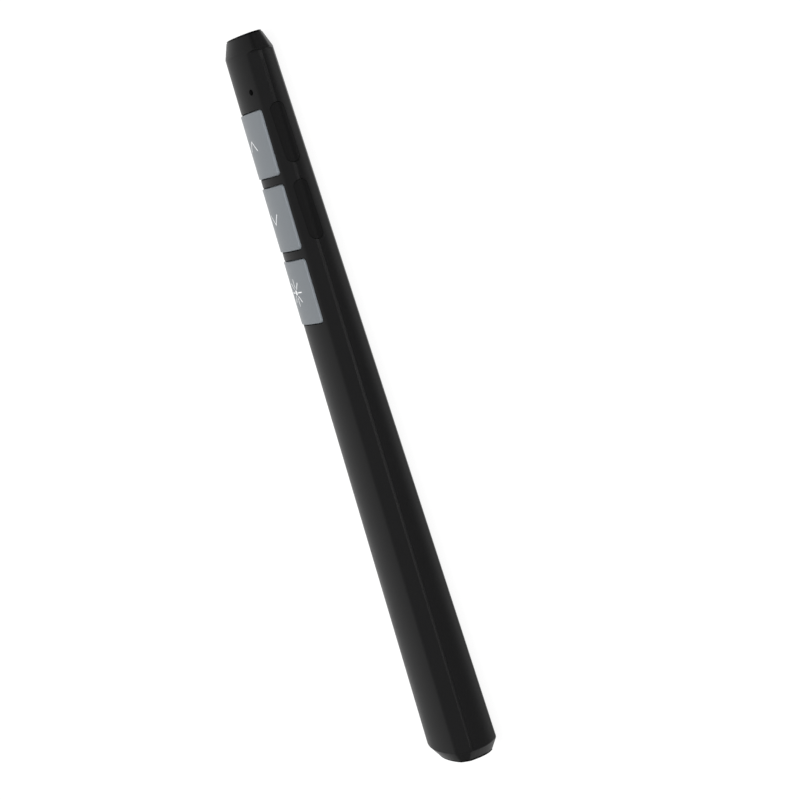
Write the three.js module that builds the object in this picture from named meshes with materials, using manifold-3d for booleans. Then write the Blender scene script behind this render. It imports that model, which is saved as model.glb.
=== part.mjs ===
// Wireless presenter: a slim wedge-shaped pen with three front keys, two side keys,
// a laser in its nose and a USB receiver stored in its tail.
// Millimetres, +Z up. The pen lies on its back along Y, nose towards +Y, keys facing up.
import * as THREE from 'three';
import { mergeVertices } from 'three/addons/utils/BufferGeometryUtils.js';
import Module from 'manifold-3d';

const wasm = await Module();
wasm.setup();

// Body, given at its nose end and at its tail end. Rise and drop are measured from the middle line
// of the section, a facet run is how far the 45 degree corner reaches in from the side, and the flat
// cut is the depth taken off the back crown so that the pen lies flat.
const bodyLength = 150;
const noseWidth = 18.6;
const tailWidth = 22.1;
const noseFacetRun = 2.1;
const tailFacetRun = 2.6;
const noseFrontRise = 4.41;
const tailFrontRise = 6.25;
const noseBackDrop = 4.26;
const tailBackDrop = 6.16;
const noseFlatCut = 0.39;
const tailFlatCut = 0.38;
const noseCrownRadius = 16;
const tailCrownRadius = 23.2;
const sideBulgeShare = 0.04;
const ridgeRadius = 0.8;
const innerRidgeRadius = 0.2;
const wall = 1.2;
const leastCornerShare = 0.4;

// Tapered nose, whose corners are fuller than the long corner facets behind them
const noseTaperLength = 3.4;
const noseTaperDrop = 1.1;
const noseTaperInset = 1.5;
const noseCornerLeg = 0.5;
const noseCollarLength = 0.3;

// Chamfered tail
const tailChamferLength = 2.5;
const tailChamferDrop = 1.36;
const tailChamferInset = 2.3;
const tailCornerLeg = 1.6;

// Parting line of the two shells
const partingBelowRidge = 0.5;
const partingGap = 0.1;

// End plates, thin gloss trims that stand just proud of the shells
const plateThickness = 0.3;
const plateInset = 0.15;
const seatGap = 0.05;
const nosePlugDepth = 1.3;
const nosePlugGap = 0.25;
const apertureRadius = 1.1;

// Front keys
const keyCount = 3;
const firstKeyFromNose = 14.83;
const keyLength = 12.6;
const keySpacing = 2.32;
const keyOverhang = 0.08;
const keyCorner = 0.45;
const keyProud = 0.3;
const keyEdge = 0.22;
const keyThickness = 0.9;
const keyGap = 0.25;
const keyFlangeLength = 0.7;
const keyFlangeInset = 2.78;
const keyFlangeThickness = 0.6;
const keyStemRadius = 1.3;
const keyTravel = 0.4;

// Side keys
const sideKeyCount = 2;
const sideKeyFromNose = 14.2;
const sideKeyLength = 11.9;
const sideKeySpacing = 3.5;
const sideKeyAboveRidge = 1;
const sideKeyBelowRidge = 1.6;
const sideKeySink = 0.15;
const sideKeyGap = 0.25;
const sideKeyTabLength = 0.8;
const sideKeyTabHeight = 0.4;
const sideKeyTabThickness = 0.5;

// Indicator lamp, right of the centre line
const lampFromNose = 11;
const lampInset = 1.8;
const lampPipeRadius = 0.5;
const lampHoleRadius = 0.6;
const lampCollarRadius = 0.95;
const lampCollarThickness = 0.5;
const lampWidth = 1.6;
const lampDepth = 0.9;
const lampHeight = 0.7;

// Main board
const boardStandoff = 1.3;
const boardThickness = 0.8;
const boardSideGap = 0.95;
const boardEdgeGap = 0.27;
const boardNotchGap = 1;
const boardArmPast = 2.4;
const boardArmGap = 0.8;
const boardBehindKeys = 23.7;
const boardPostRadius = 1.6;

// Top-mounted key switches and side-pressed switches
const switchSize = 4.2;
const switchHeight = 2.1;
const plungerRadius = 1;
const plungerProud = 0.6;
const plungerGap = 0.2;
const plungerWell = 1.2;
const plungerFlange = 0.4;
const sideSwitchSpacing = 1.4;
const sideSwitchLength = 4.4;
const sideSwitchHeight = 2;
const sidePlungerLength = 2;
const sidePlungerHeight = 1;

// Laser module, centred in the nose
const laserClearance = 0.7;
const laserTubeWall = 0.55;
const laserBarrelLength = 10.6;
const laserFromNose = 3.2;
const laserLensThickness = 1.4;
const laserLensSetback = 0.5;
const laserDiodeGap = 0.2;
const laserDiodeLength = 3.2;
const laserBoardThickness = 0.8;
const laserStopLength = 0.6;
const laserStopShare = 0.5;
const laserSaddleWall = 0.6;
const laserSaddleLength = 5;

// Battery, between the board and the rear screw
const batteryThickness = 5;
const batteryBoardGap = 3.5;
const batteryBossGap = 3.15;
const batterySideGap = 2.2;
const batteryEdge = 1.2;
const padThickness = 0.8;
const padSideMargin = 3.2;
const padEndMargin = 3;

// Charging port on the left side
const portBehindKeys = 16.7;
const portLength = 8.9;
const portHeight = 3.2;
const portDepth = 7.3;
const portWall = 0.3;
const portRecess = 0.7;
const portMouthGap = 0.3;
const tongueThickness = 0.7;
const tongueWidth = 6.7;
const tongueSetback = 0.9;
const tongueRoot = 1;

// Power slider on the left side
const powerSwitchSpacing = 0.8;
const sliderLength = 5;
const sliderHeight = 1.5;
const sliderSink = 0.35;
const sliderTravel = 2;
const sliderGap = 0.2;
const sliderRibs = 4;
const sliderRibWidth = 0.4;
const sliderRibDepth = 0.25;
const sliderFlangeThickness = 0.5;
const sliderFlangeHeight = 1.1;
const sliderFlangeOverlap = 0.8;
const sliderFlangeSetback = 0.3;
const powerSwitchLength = 6.6;
const powerSwitchDepth = 2.7;
const powerSwitchHeight = 1.6;
const leverLength = 1.3;
const leverHeight = 0.7;
const leverSeat = 0.9;

// Receiver in the tail, with its dock
const headWidth = 12.9;
const headHeight = 5.6;
const headLength = 6.5;
const headCorner = 0.9;
const headGap = 0.2;
const nailGrooveRadius = 0.9;
const nailGrooveLength = 7;
const plugWidth = 12;
const plugHeight = 4.5;
const plugLength = 12;
const plugWall = 0.35;
const plugGap = 0.2;
const plugWindow = 2;
const plugWindowOffset = 2.6;
const plugWindowFromTip = 5;
const insertThickness = 1.9;
const insertSetback = 0.5;
const insertSideGap = 0.25;
const dockSideWall = 1.1;
const dockFloorWall = 0.85;
const dockRoofWall = 0.5;
const dockTipGap = 0.2;
const dockBack = 0.8;
const dockEdge = 1;
const dockMouthSetback = 0.4;
const dockRibSideInset = 2.3;
const dockRibThickness = 1;
const dockRibInset = 2;

// Screws. A housing screw goes through the back shell into a boss of the front cover.
const frontScrewBehindKeys = 4.7;
const rearScrewFromDock = 7;
const housingHeadRadius = 1.6;
const housingHeadHeight = 0.8;
const housingShankRadius = 0.8;
const housingShankLength = 4;
const housingScrewGap = 0.15;
const housingCounterbore = 1.1;
const housingWasherWall = 0.7;
const bossWall = 0.9;
const boardScrewSideShare = 0.69;
const boardScrewFromTail = 3.4;
const boardHeadRadius = 1.2;
const boardHeadHeight = 0.5;
const boardShankRadius = 0.6;
const boardShankLength = 1.6;
const boardScrewGap = 0.12;

// Snap tabs that hold the front cover in the back shell, in pairs
const noseTabFromNose = 8.5;
const middleTabBehindKeys = 9.25;
const batteryTabShares = [0.22, 0.81];
const snapTabLength = 4.4;
const snapTabThickness = 0.7;
const snapTabReach = 1.1;
const snapTabRoot = 1.2;
const snapGap = 0.12;

// Chips on the board. Each keeps to one side by a share of half the board's width.
const radioChip = { behindKeys: 12.2, sideShare: 0.41, length: 4, width: 4, height: 0.9 };
const crystalCan = { behindKeys: 8.3, sideShare: 0.67, length: 1.6, width: 2, height: 0.6 };
const antennaChip = { fromTail: 1.2, sideShare: -0.22, length: 1.4, width: 5, height: 0.7 };
const chargerChip = { sideShare: 0.69, length: 2.6, width: 2.6, height: 0.7 };

// Facet counts and one overrun for every cut
const crownSteps = 12;
const backSteps = 4;
const cornerSteps = 3;
const roundSegments = 20;
const overrun = 0.5;

// Places along the pen, measured as Y from its middle
const noseTipY = bodyLength / 2;
const fromNose = (distance) => noseTipY - distance;
const tailTipY = fromNose(bodyLength);
const noseShellY = noseTipY - plateThickness - seatGap;
const tailShellY = tailTipY + plateThickness + seatGap;
const noseTaperY = fromNose(noseTaperLength);
const tailChamferY = tailTipY + tailChamferLength;
const boardBottom = wall + boardStandoff;
const boardTop = boardBottom + boardThickness;

const mix = (a, b, share) => a + (b - a) * share;
const bodyShare = (y) => (noseTipY - y) / bodyLength;

// Section sizes at the two ends of the body, as if it ran untapered to its tips
const noseSize = {
  half: noseWidth / 2, face: noseWidth / 2 - noseFacetRun, front: noseFrontRise, back: noseBackDrop,
  datum: noseBackDrop - noseFlatCut, radius: noseCrownRadius, floor: 0, round: ridgeRadius,
};
const tailSize = {
  half: tailWidth / 2, face: tailWidth / 2 - tailFacetRun, front: tailFrontRise, back: tailBackDrop,
  datum: tailBackDrop - tailFlatCut, radius: tailCrownRadius, floor: 0, round: ridgeRadius,
};

function sizeAt(y) {
  const share = bodyShare(y);
  const size = {};
  for (const key of Object.keys(noseSize)) size[key] = mix(noseSize[key], tailSize[key], share);
  return size;
}

function taperedSize(size, drop, inset, cornerLeg) {
  const half = size.half - inset;
  return {
    half, face: half - cornerLeg, front: size.front - drop, back: size.back - drop,
    datum: size.datum, radius: size.radius - drop, floor: size.floor + drop, round: size.round,
  };
}

const frontCrown = (size, x) => size.datum + size.front - size.radius + Math.sqrt(size.radius ** 2 - x ** 2);
const backCrown = (size, x) => size.datum - size.back + size.radius - Math.sqrt(size.radius ** 2 - x ** 2);
const ridgeHeight = (size) => frontCrown(size, size.face) - (size.half - size.face);
const lowerRidgeHeight = (size) => backCrown(size, size.face) + (size.half - size.face);

// The same section drawn in by a distance, with its 45 degree corners kept parallel. Where the two
// corners would meet, the side moves in until its short flat still holds both ridges.
function insetSize(size, distance) {
  const shift = distance * Math.SQRT2;
  const upper = size.half + ridgeHeight(size) - shift;
  const lower = size.half - lowerRidgeHeight(size) - shift;
  const round = Math.max(size.round - distance, innerRidgeRadius);
  const half = Math.min(size.half - distance, (upper + lower - round) / 2);
  const radius = size.radius - distance;
  const corner = upper - (size.datum + size.front - size.radius);
  const crossing = (corner - Math.sqrt(2 * radius ** 2 - corner ** 2)) / 2;
  return {
    half, face: Math.min(crossing, half - round * leastCornerShare), front: size.front - distance,
    back: size.back - distance, datum: size.datum, radius, floor: size.floor + distance, round,
  };
}

// One closed section in X and Z: front crown, corner facet, side, lower facet, back crown with a flat
function sectionPoints(size) {
  const right = [];
  const blend = size.round * Math.tan(Math.PI / 8);
  const slant = blend * Math.SQRT1_2;
  const arcSink = size.round / Math.cos(Math.PI / 8) - size.round;
  const sinkX = arcSink * Math.cos(Math.PI / 8);
  const sinkZ = arcSink * Math.sin(Math.PI / 8);
  const ridge = ridgeHeight(size);
  const lower = lowerRidgeHeight(size);
  const flatDepth = size.back - size.datum + size.floor;
  const flatHalf = Math.sqrt(2 * size.radius * flatDepth - flatDepth ** 2);
  right.push([size.half - slant, ridge + slant]);
  right.push([size.half - sinkX, ridge - sinkZ]);
  right.push([size.half, ridge - blend]);
  right.push([size.half + sideBulgeShare * (ridge - lower), (ridge + lower) / 2]);
  right.push([size.half, lower + blend]);
  right.push([size.half - sinkX, lower + sinkZ]);
  right.push([size.half - slant, lower - slant]);
  for (let i = 0; i <= backSteps; i += 1) {
    const x = mix(size.face, flatHalf, i / backSteps);
    right.push([x, i === backSteps ? size.floor : backCrown(size, x)]);
  }
  const left = right.map(([x, z]) => [-x, z]).reverse();
  const crown = [];
  for (let i = 0; i <= crownSteps; i += 1) {
    const x = mix(-size.face, size.face, i / crownSteps);
    crown.push([x, frontCrown(size, x)]);
  }
  return [...crown, ...right, ...left];
}

const ringAt = (y, points) => points.map(([x, z]) => new THREE.Vector3(x, y, z));

function straightRing(y, inset) {
  const share = bodyShare(y);
  const nose = sectionPoints(insetSize(noseSize, inset));
  const tail = sectionPoints(insetSize(tailSize, inset));
  return ringAt(y, nose.map(([x, z], i) => [mix(x, tail[i][0], share), mix(z, tail[i][1], share)]));
}

// Height of the front crown, or of a line that runs on past its edges
function crownHeight(x, y) {
  const share = bodyShare(y);
  const across = x / mix(noseSize.face, tailSize.face, share);
  return mix(frontCrown(noseSize, across * noseSize.face), frontCrown(tailSize, across * tailSize.face), share);
}

const ridgeAt = (y) => mix(ridgeHeight(noseSize), ridgeHeight(tailSize), bodyShare(y));
const lowerRidgeAt = (y) => mix(lowerRidgeHeight(noseSize), lowerRidgeHeight(tailSize), bodyShare(y));
const halfWidthAt = (y) => mix(noseSize.half, tailSize.half, bodyShare(y));

// Closed solid through rings of equal length, capped by zigzag strips
function loft(rings) {
  const count = rings[0].length;
  const positions = rings.flat().flatMap((p) => [p.x, p.y, p.z]);
  const index = [];
  for (let r = 0; r < rings.length - 1; r += 1) {
    for (let i = 0; i < count; i += 1) {
      const a = r * count + i;
      const b = r * count + (i + 1) % count;
      index.push(a, b, a + count, b, b + count, a + count);
    }
  }
  const cap = (base, flip) => {
    let low = 0;
    let high = count - 1;
    const add = (a, b, c) => index.push(base + a, base + (flip ? b : c), base + (flip ? c : b));
    while (low + 1 < high) {
      add(low, low + 1, high);
      low += 1;
      if (low + 1 < high) add(low, high - 1, high);
      if (low < high) high -= 1;
    }
  };
  cap(0, false);
  cap((rings.length - 1) * count, true);
  const geometry = new THREE.BufferGeometry();
  geometry.setAttribute('position', new THREE.Float32BufferAttribute(positions, 3));
  geometry.setIndex(index);
  return outward(geometry);
}

// Turns the faces of a closed geometry outwards
function outward(geometry) {
  const p = geometry.attributes.position;
  const index = geometry.index.array;
  const a = new THREE.Vector3();
  const b = new THREE.Vector3();
  const c = new THREE.Vector3();
  let volume = 0;
  for (let i = 0; i < index.length; i += 3) {
    a.fromBufferAttribute(p, index[i]);
    b.fromBufferAttribute(p, index[i + 1]);
    c.fromBufferAttribute(p, index[i + 2]);
    volume += a.dot(b.cross(c));
  }
  if (volume < 0) {
    const turned = [];
    for (let i = 0; i < index.length; i += 3) turned.push(index[i], index[i + 2], index[i + 1]);
    geometry.setIndex(turned);
  }
  return geometry;
}

function solid(source) {
  const bare = source.clone();
  bare.deleteAttribute('normal');
  bare.deleteAttribute('uv');
  const merged = mergeVertices(bare);
  return new wasm.Manifold(new wasm.Mesh({
    numProp: 3,
    vertProperties: new Float32Array(merged.attributes.position.array),
    triVerts: new Uint32Array(merged.index.array),
  }));
}

function geometryOf(body) {
  const mesh = body.getMesh();
  const geometry = new THREE.BufferGeometry();
  geometry.setAttribute('position', new THREE.BufferAttribute(new Float32Array(mesh.vertProperties), 3));
  geometry.setIndex(new THREE.BufferAttribute(new Uint32Array(mesh.triVerts), 1));
  geometry.computeVertexNormals();
  return geometry;
}

// Box from its lowest to its highest corner
function block([x0, y0, z0], [x1, y1, z1]) {
  const box = new THREE.BoxGeometry(x1 - x0, y1 - y0, z1 - z0);
  return box.translate((x0 + x1) / 2, (y0 + y1) / 2, (z0 + z1) / 2);
}

// Upright round post
function post(x, y, zLow, zHigh, radius) {
  const rod = new THREE.CylinderGeometry(radius, radius, zHigh - zLow, roundSegments);
  return rod.rotateX(Math.PI / 2).translate(x, y, (zLow + zHigh) / 2);
}

// Round rod along Y
function rodAlongY(x, yLow, yHigh, z, radius) {
  const rod = new THREE.CylinderGeometry(radius, radius, yHigh - yLow, roundSegments);
  return rod.translate(x, (yLow + yHigh) / 2, z);
}

function roundedShape(halfLength, halfHeight, corner) {
  const shape = new THREE.Shape();
  shape.moveTo(-halfLength + corner, -halfHeight);
  shape.absarc(halfLength - corner, -halfHeight + corner, corner, -Math.PI / 2, 0);
  shape.absarc(halfLength - corner, halfHeight - corner, corner, 0, Math.PI / 2);
  shape.absarc(-halfLength + corner, halfHeight - corner, corner, Math.PI / 2, Math.PI);
  shape.absarc(-halfLength + corner, -halfHeight + corner, corner, Math.PI, Math.PI * 1.5);
  return shape;
}

function extruded(shape, depth) {
  return new THREE.ExtrudeGeometry(shape, { depth, bevelEnabled: false, curveSegments: cornerSteps });
}

// Rounded bar whose outline lies in Y and Z, running along X
function barAlongX({ xLow, xHigh, y, z, length, height, corner }) {
  const shape = roundedShape(length / 2, height / 2, corner);
  const bar = extruded(shape, xHigh - xLow);
  return bar.rotateX(Math.PI / 2).rotateZ(Math.PI / 2).translate(xLow, y, z);
}

// Rounded bar whose outline lies in X and Z, running along Y
function barAlongY({ yLow, yHigh, x, z, width, height, corner }) {
  const shape = roundedShape(width / 2, height / 2, corner);
  const bar = extruded(shape, yHigh - yLow);
  return bar.rotateX(Math.PI / 2).translate(x, yHigh, z);
}

// Pad that follows the front crown. Each level is an offset from the crown and an inset of the outline.
function crownPad({ halfWidth, yNose, yTail, corner }, levels) {
  const rings = levels.map(({ offset, inset }) => {
    const reach = halfWidth - inset;
    const round = Math.max(corner - inset, corner / 2);
    const stations = [];
    for (let i = 0; i <= cornerSteps; i += 1) {
      const angle = Math.PI / 2 * i / cornerSteps;
      stations.push([reach - round + round * Math.cos(angle), round - round * Math.sin(angle)]);
    }
    for (let i = 1; i < crownSteps / 2; i += 1) {
      stations.push([mix(reach - round, 0, i / (crownSteps / 2)), 0]);
    }
    const mirrored = stations.map(([x, cut]) => [-x, cut]);
    const across = [...mirrored, [0, 0], ...stations.reverse()];
    const place = (x, y) => new THREE.Vector3(x, y, crownHeight(x, y) + offset);
    const noseSide = across.map(([x, cut]) => place(x, yNose - inset - cut));
    const tailSide = across.map(([x, cut]) => place(x, yTail + inset + cut)).reverse();
    return [...noseSide, ...tailSide];
  });
  return loft(rings);
}

// Sections of the shells at their two ends
const noseEnd = taperedSize(sizeAt(noseShellY), noseTaperDrop, noseTaperInset, noseCornerLeg);
const tailEnd = taperedSize(sizeAt(tailShellY), tailChamferDrop, tailChamferInset, tailCornerLeg);

// Form of both shells together, drawn in by a distance and with its ends run on by another
function bodyForm(inset, extra) {
  const collarSize = sizeAt(noseTaperY);
  const collar = { ...collarSize, face: collarSize.half - noseCornerLeg };
  const ring = (y, size) => ringAt(y, sectionPoints(insetSize(size, inset)));
  const nose = loft([
    ring(noseShellY + extra, noseEnd),
    ring(noseTaperY, collar),
    ring(noseTaperY - noseCollarLength, collar),
  ]);
  const barrel = loft([
    straightRing(noseTaperY, inset),
    straightRing(tailChamferY, inset),
    ring(tailShellY - extra, tailEnd),
  ]);
  return solid(nose).add(solid(barrel));
}

// Everything above or below the sloping parting line, less half of its gap
function partingHalf(above) {
  const reach = bodyLength;
  const sign = above ? 1 : -1;
  const ring = (y) => {
    const line = ridgeAt(y) - partingBelowRidge + sign * partingGap / 2;
    const far = line + sign * reach;
    return ringAt(y, [[-reach, line], [reach, line], [reach, far], [-reach, far]]);
  };
  return solid(loft([ring(noseTipY + overrun), ring(tailTipY - overrun)]));
}

const group = new THREE.Group();

function addPiece(name, body, material) {
  const mesh = new THREE.Mesh(body.isBufferGeometry ? body : geometryOf(body), material);
  mesh.name = name;
  group.add(mesh);
}

const finish = (color, roughness, metalness) => new THREE.MeshStandardMaterial({ color, roughness, metalness });
const blackPlastic = finish(0x1c1d1f, 0.5, 0);
const glossBlack = finish(0x0b0b0c, 0.15, 0);
const greyPlastic = finish(0x868b92, 0.4, 0);
const darkPlastic = finish(0x26272a, 0.6, 0);
const boardGreen = finish(0x12543a, 0.5, 0);
const switchSteel = finish(0xb9bcc0, 0.35, 0.9);
const brass = finish(0xb9935a, 0.35, 0.9);
const chipBlack = finish(0x151516, 0.55, 0);
const clearPlastic = finish(0xdfe6ea, 0.1, 0);
const smokedPlastic = finish(0x0b0b0c, 0.12, 0);
const cellFoil = finish(0xb4b8bc, 0.4, 0.6);
const foamGrey = finish(0x4a4b4d, 0.9, 0);
const screwSteel = finish(0x8d9196, 0.35, 0.9);

// Places of the front keys
const keys = ['page_up', 'page_down', 'laser'].slice(0, keyCount).map((name, i) => {
  const yNose = fromNose(firstKeyFromNose + (keyLength + keySpacing) * i);
  const yTail = yNose - keyLength;
  return { name, yNose, yTail, y: (yNose + yTail) / 2 };
});
const keyWidth = 2 * (noseSize.face + keyOverhang);
const keyFlangeWidth = keyWidth - 2 * keyFlangeInset;
const behindKeys = (distance) => keys[keys.length - 1].yTail - distance;

// Places of the side keys
const sideKeys = ['front', 'rear'].slice(0, sideKeyCount).map((name, i) => {
  const yNose = fromNose(sideKeyFromNose + (sideKeyLength + sideKeySpacing) * i);
  const y = yNose - sideKeyLength / 2;
  const zLow = ridgeAt(y) - sideKeyBelowRidge;
  const zHigh = ridgeAt(y) + sideKeyAboveRidge;
  const tabEndY = yNose + sideKeyTabLength;
  const plane = (ridgeAt(tabEndY) + lowerRidgeAt(tabEndY)) / 2;
  return { name, y, z: (zLow + zHigh) / 2, height: zHigh - zLow, plane };
});
const innerHalfAt = (y) => mix(insetSize(noseSize, wall).half, insetSize(tailSize, wall).half, bodyShare(y));
const sideKeyInnerX = (site) => innerHalfAt(site.y) - sideKeyGap - sideKeyTabThickness;

const sideRoom = wall + sideKeyGap + sideKeyTabThickness;
const facetRoom = noseSize.half - lowerRidgeHeight(noseSize) - wall * Math.SQRT2 + boardBottom;
const boardHalfWidth = Math.min(noseSize.half - sideRoom - boardSideGap, facetRoom - boardEdgeGap);
const boardTailY = behindKeys(boardBehindKeys);

const portY = behindKeys(portBehindKeys);
const portZ = boardTop + seatGap + portHeight / 2;
const powerSwitchY = keys[keys.length - 1].y - (switchSize + powerSwitchLength) / 2 - powerSwitchSpacing;
const powerY = powerSwitchY - sliderTravel / 2;
const powerZ = (ridgeAt(powerY) + lowerRidgeAt(powerY)) / 2;
const lampY = fromNose(lampFromNose);
const lampOffset = noseSize.face - lampInset;

const laserAxisHeight = (noseSize.datum + noseSize.front) / 2;
const laserBarrelRadius = laserAxisHeight - wall - laserClearance;
const laserBoreRadius = laserBarrelRadius - laserTubeWall;
const laserNoseY = fromNose(laserFromNose);
const laserTailY = laserNoseY - laserBarrelLength;

const receiverHeight = tailSize.datum;
const headInnerY = tailTipY + headLength;
const plugTipY = headInnerY + plugLength;
const dockMouthY = headInnerY + headGap + dockMouthSetback;
const dockHoleEndY = plugTipY + dockTipGap;
const dockEndY = dockHoleEndY + dockBack;
const dockWidth = plugWidth + 2 * (plugGap + dockSideWall);
const dockBottom = receiverHeight - plugHeight / 2 - plugGap - dockFloorWall;
const dockTop = receiverHeight + plugHeight / 2 + plugGap + dockRoofWall;

const housingScrewYs = [behindKeys(frontScrewBehindKeys), dockEndY + rearScrewFromDock];
const bossRadius = housingShankRadius + housingScrewGap + bossWall;
const batteryNoseY = boardTailY - batteryBoardGap;
const batteryTailY = housingScrewYs[1] + bossRadius + batteryBossGap;
const batteryBottom = wall + padThickness + 2 * seatGap;
const batteryWidth = 2 * (innerHalfAt(batteryNoseY) - snapTabThickness - batterySideGap);

const boardScrewSide = boardHalfWidth * boardScrewSideShare;
const boardScrewSites = [
  { x: -boardScrewSide, y: (keys[0].y + keys[1].y) / 2 },
  { x: boardScrewSide, y: boardTailY + boardScrewFromTail },
];
const snapTabYs = [
  fromNose(noseTabFromNose),
  behindKeys(middleTabBehindKeys),
  ...batteryTabShares.map((share) => mix(batteryNoseY, batteryTailY, share)),
];

// Shells: the outer form less the inner one, then cut for keys, lamp, ports and the receiver
function keyWells() {
  return keys.map((key) => solid(crownPad({
    halfWidth: keyWidth / 2 + keyGap,
    yNose: key.yNose + keyGap,
    yTail: key.yTail - keyGap,
    corner: keyCorner + keyGap,
  }, [{ offset: -wall * 2, inset: 0 }, { offset: keyProud + overrun, inset: 0 }])));
}

function sideWells() {
  return sideKeys.map((site) => solid(barAlongX({
    xLow: sideKeyInnerX(site) - overrun,
    xHigh: halfWidthAt(site.y) + overrun,
    y: site.y,
    z: site.z,
    length: sideKeyLength + 2 * sideKeyGap,
    height: site.height + 2 * sideKeyGap,
    corner: site.height / 2 + sideKeyGap,
  })));
}

function leftOpenings() {
  const mouth = barAlongX({
    xLow: -halfWidthAt(portY) - overrun,
    xHigh: -innerHalfAt(portY) + wall,
    y: portY,
    z: portZ,
    length: portLength + 2 * portMouthGap,
    height: portHeight + 2 * portMouthGap,
    corner: portHeight / 2 + portMouthGap,
  });
  const slot = barAlongX({
    xLow: -halfWidthAt(powerY) - overrun,
    xHigh: -innerHalfAt(powerY) + overrun,
    y: powerSwitchY,
    z: powerZ,
    length: sliderLength + sliderTravel + 2 * sliderGap,
    height: sliderHeight + 2 * sliderGap,
    corner: sliderHeight / 2 + sliderGap,
  });
  return [solid(mouth), solid(slot)];
}

function receiverOpening() {
  return solid(barAlongY({
    yLow: tailTipY - overrun,
    yHigh: headInnerY + headGap,
    x: 0,
    z: receiverHeight,
    width: headWidth + 2 * headGap,
    height: headHeight + 2 * headGap,
    corner: headCorner + headGap,
  }));
}

let shell = bodyForm(0, 0).subtract(bodyForm(wall, overrun));
const openings = [...keyWells(), ...sideWells(), ...leftOpenings(), receiverOpening()];
for (const opening of openings) shell = shell.subtract(opening);

const washerTop = housingCounterbore + housingWasherWall;
const bossBottom = washerTop + partingGap;

function snapTab(y, side) {
  const line = ridgeAt(y) - partingBelowRidge;
  const outerX = side * innerHalfAt(y);
  const innerX = outerX - side * snapTabThickness;
  return solid(block(
    [Math.min(innerX, outerX), y - snapTabLength / 2, line - snapTabReach],
    [Math.max(innerX, outerX), y + snapTabLength / 2, line + snapTabRoot + wall],
  ));
}

function frontCover() {
  let cover = shell.intersect(partingHalf(true));
  const hookForm = bodyForm(wall + snapGap, overrun);
  const rootForm = bodyForm(wall - seatGap, overrun).intersect(partingHalf(true));
  for (const y of housingScrewYs) {
    const top = crownHeight(0, y) - wall / 2;
    cover = cover.add(solid(post(0, y, bossBottom, top, bossRadius)));
    const pilotTop = housingShankLength + housingCounterbore + overrun;
    const pilot = post(0, y, bossBottom - overrun, pilotTop, housingShankRadius + housingScrewGap);
    cover = cover.subtract(solid(pilot));
  }
  for (const y of snapTabYs) {
    for (const side of [-1, 1]) {
      const tab = snapTab(y, side);
      cover = cover.add(tab.intersect(hookForm)).add(tab.intersect(rootForm));
    }
  }
  const hole = post(lampOffset, lampY, boardTop, crownHeight(0, lampY) + overrun, lampHoleRadius);
  return cover.subtract(solid(hole));
}

function backShell() {
  let shellHalf = shell.intersect(partingHalf(false));
  const washerRadius = housingHeadRadius + housingScrewGap + wall / 2;
  for (const y of housingScrewYs) {
    shellHalf = shellHalf.add(solid(post(0, y, wall / 2, washerTop, washerRadius)));
    const headHole = post(0, y, -overrun, housingCounterbore, housingHeadRadius + housingScrewGap);
    const shankHole = post(0, y, -overrun, washerTop + overrun, housingShankRadius + housingScrewGap);
    shellHalf = shellHalf.subtract(solid(headHole)).subtract(solid(shankHole));
  }
  for (const { x, y } of boardScrewSites) {
    const bottom = Math.max(backCrown(sizeAt(y), x), 0) + wall / 2;
    shellHalf = shellHalf.add(solid(post(x, y, bottom, boardBottom - seatGap, boardPostRadius)));
    const pilotBottom = boardTop - boardShankLength - boardScrewGap;
    const pilot = post(x, y, pilotBottom, boardBottom, boardShankRadius + boardScrewGap);
    shellHalf = shellHalf.subtract(solid(pilot));
  }
  const saddleHigh = laserTailY + laserSaddleLength;
  const saddleHalf = laserBarrelRadius + laserSaddleWall;
  const saddle = solid(block(
    [-saddleHalf, laserTailY, wall / 2],
    [saddleHalf, saddleHigh, laserAxisHeight - laserBarrelRadius / 2],
  ));
  const cradleRadius = laserBarrelRadius + seatGap;
  const cradle = rodAlongY(0, laserTailY - overrun, saddleHigh + overrun, laserAxisHeight, cradleRadius);
  for (const y of [dockMouthY + dockRibInset, dockEndY - dockRibInset]) {
    const half = dockWidth / 2 - dockRibSideInset;
    const low = [-half, y - dockRibThickness / 2, wall / 2];
    const high = [half, y + dockRibThickness / 2, dockBottom - seatGap];
    shellHalf = shellHalf.add(solid(block(low, high)));
  }
  return shellHalf.add(saddle.subtract(solid(cradle)));
}

// End plates, whose sections are the shells' end sections drawn in
function plateLayer(yNose, thickness, size) {
  const ring = (y) => ringAt(y, sectionPoints(size));
  return solid(loft([ring(yNose), ring(yNose - thickness)]));
}

function nosePlate() {
  const rim = plateLayer(noseTipY, plateThickness, insetSize(noseEnd, plateInset));
  const plugTopY = noseTipY - plateThickness + seatGap;
  const plug = plateLayer(plugTopY, nosePlugDepth, insetSize(noseEnd, wall + nosePlugGap));
  const plugEndY = plugTopY - nosePlugDepth;
  const aperture = rodAlongY(0, plugEndY - overrun, noseTipY + overrun, laserAxisHeight, apertureRadius);
  return rim.add(plug).subtract(solid(aperture));
}

function tailPlate() {
  const rim = plateLayer(tailTipY + plateThickness, plateThickness, insetSize(tailEnd, plateInset));
  return rim.subtract(receiverOpening());
}

addPiece('front_cover', frontCover(), blackPlastic);
addPiece('back_shell', backShell(), blackPlastic);
addPiece('nose_plate', nosePlate(), glossBlack);
addPiece('tail_plate', tailPlate(), glossBlack);

// Front keys with their switches
const switchTop = boardTop + seatGap + switchHeight;
const plungerTop = switchTop + plungerProud;

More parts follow.
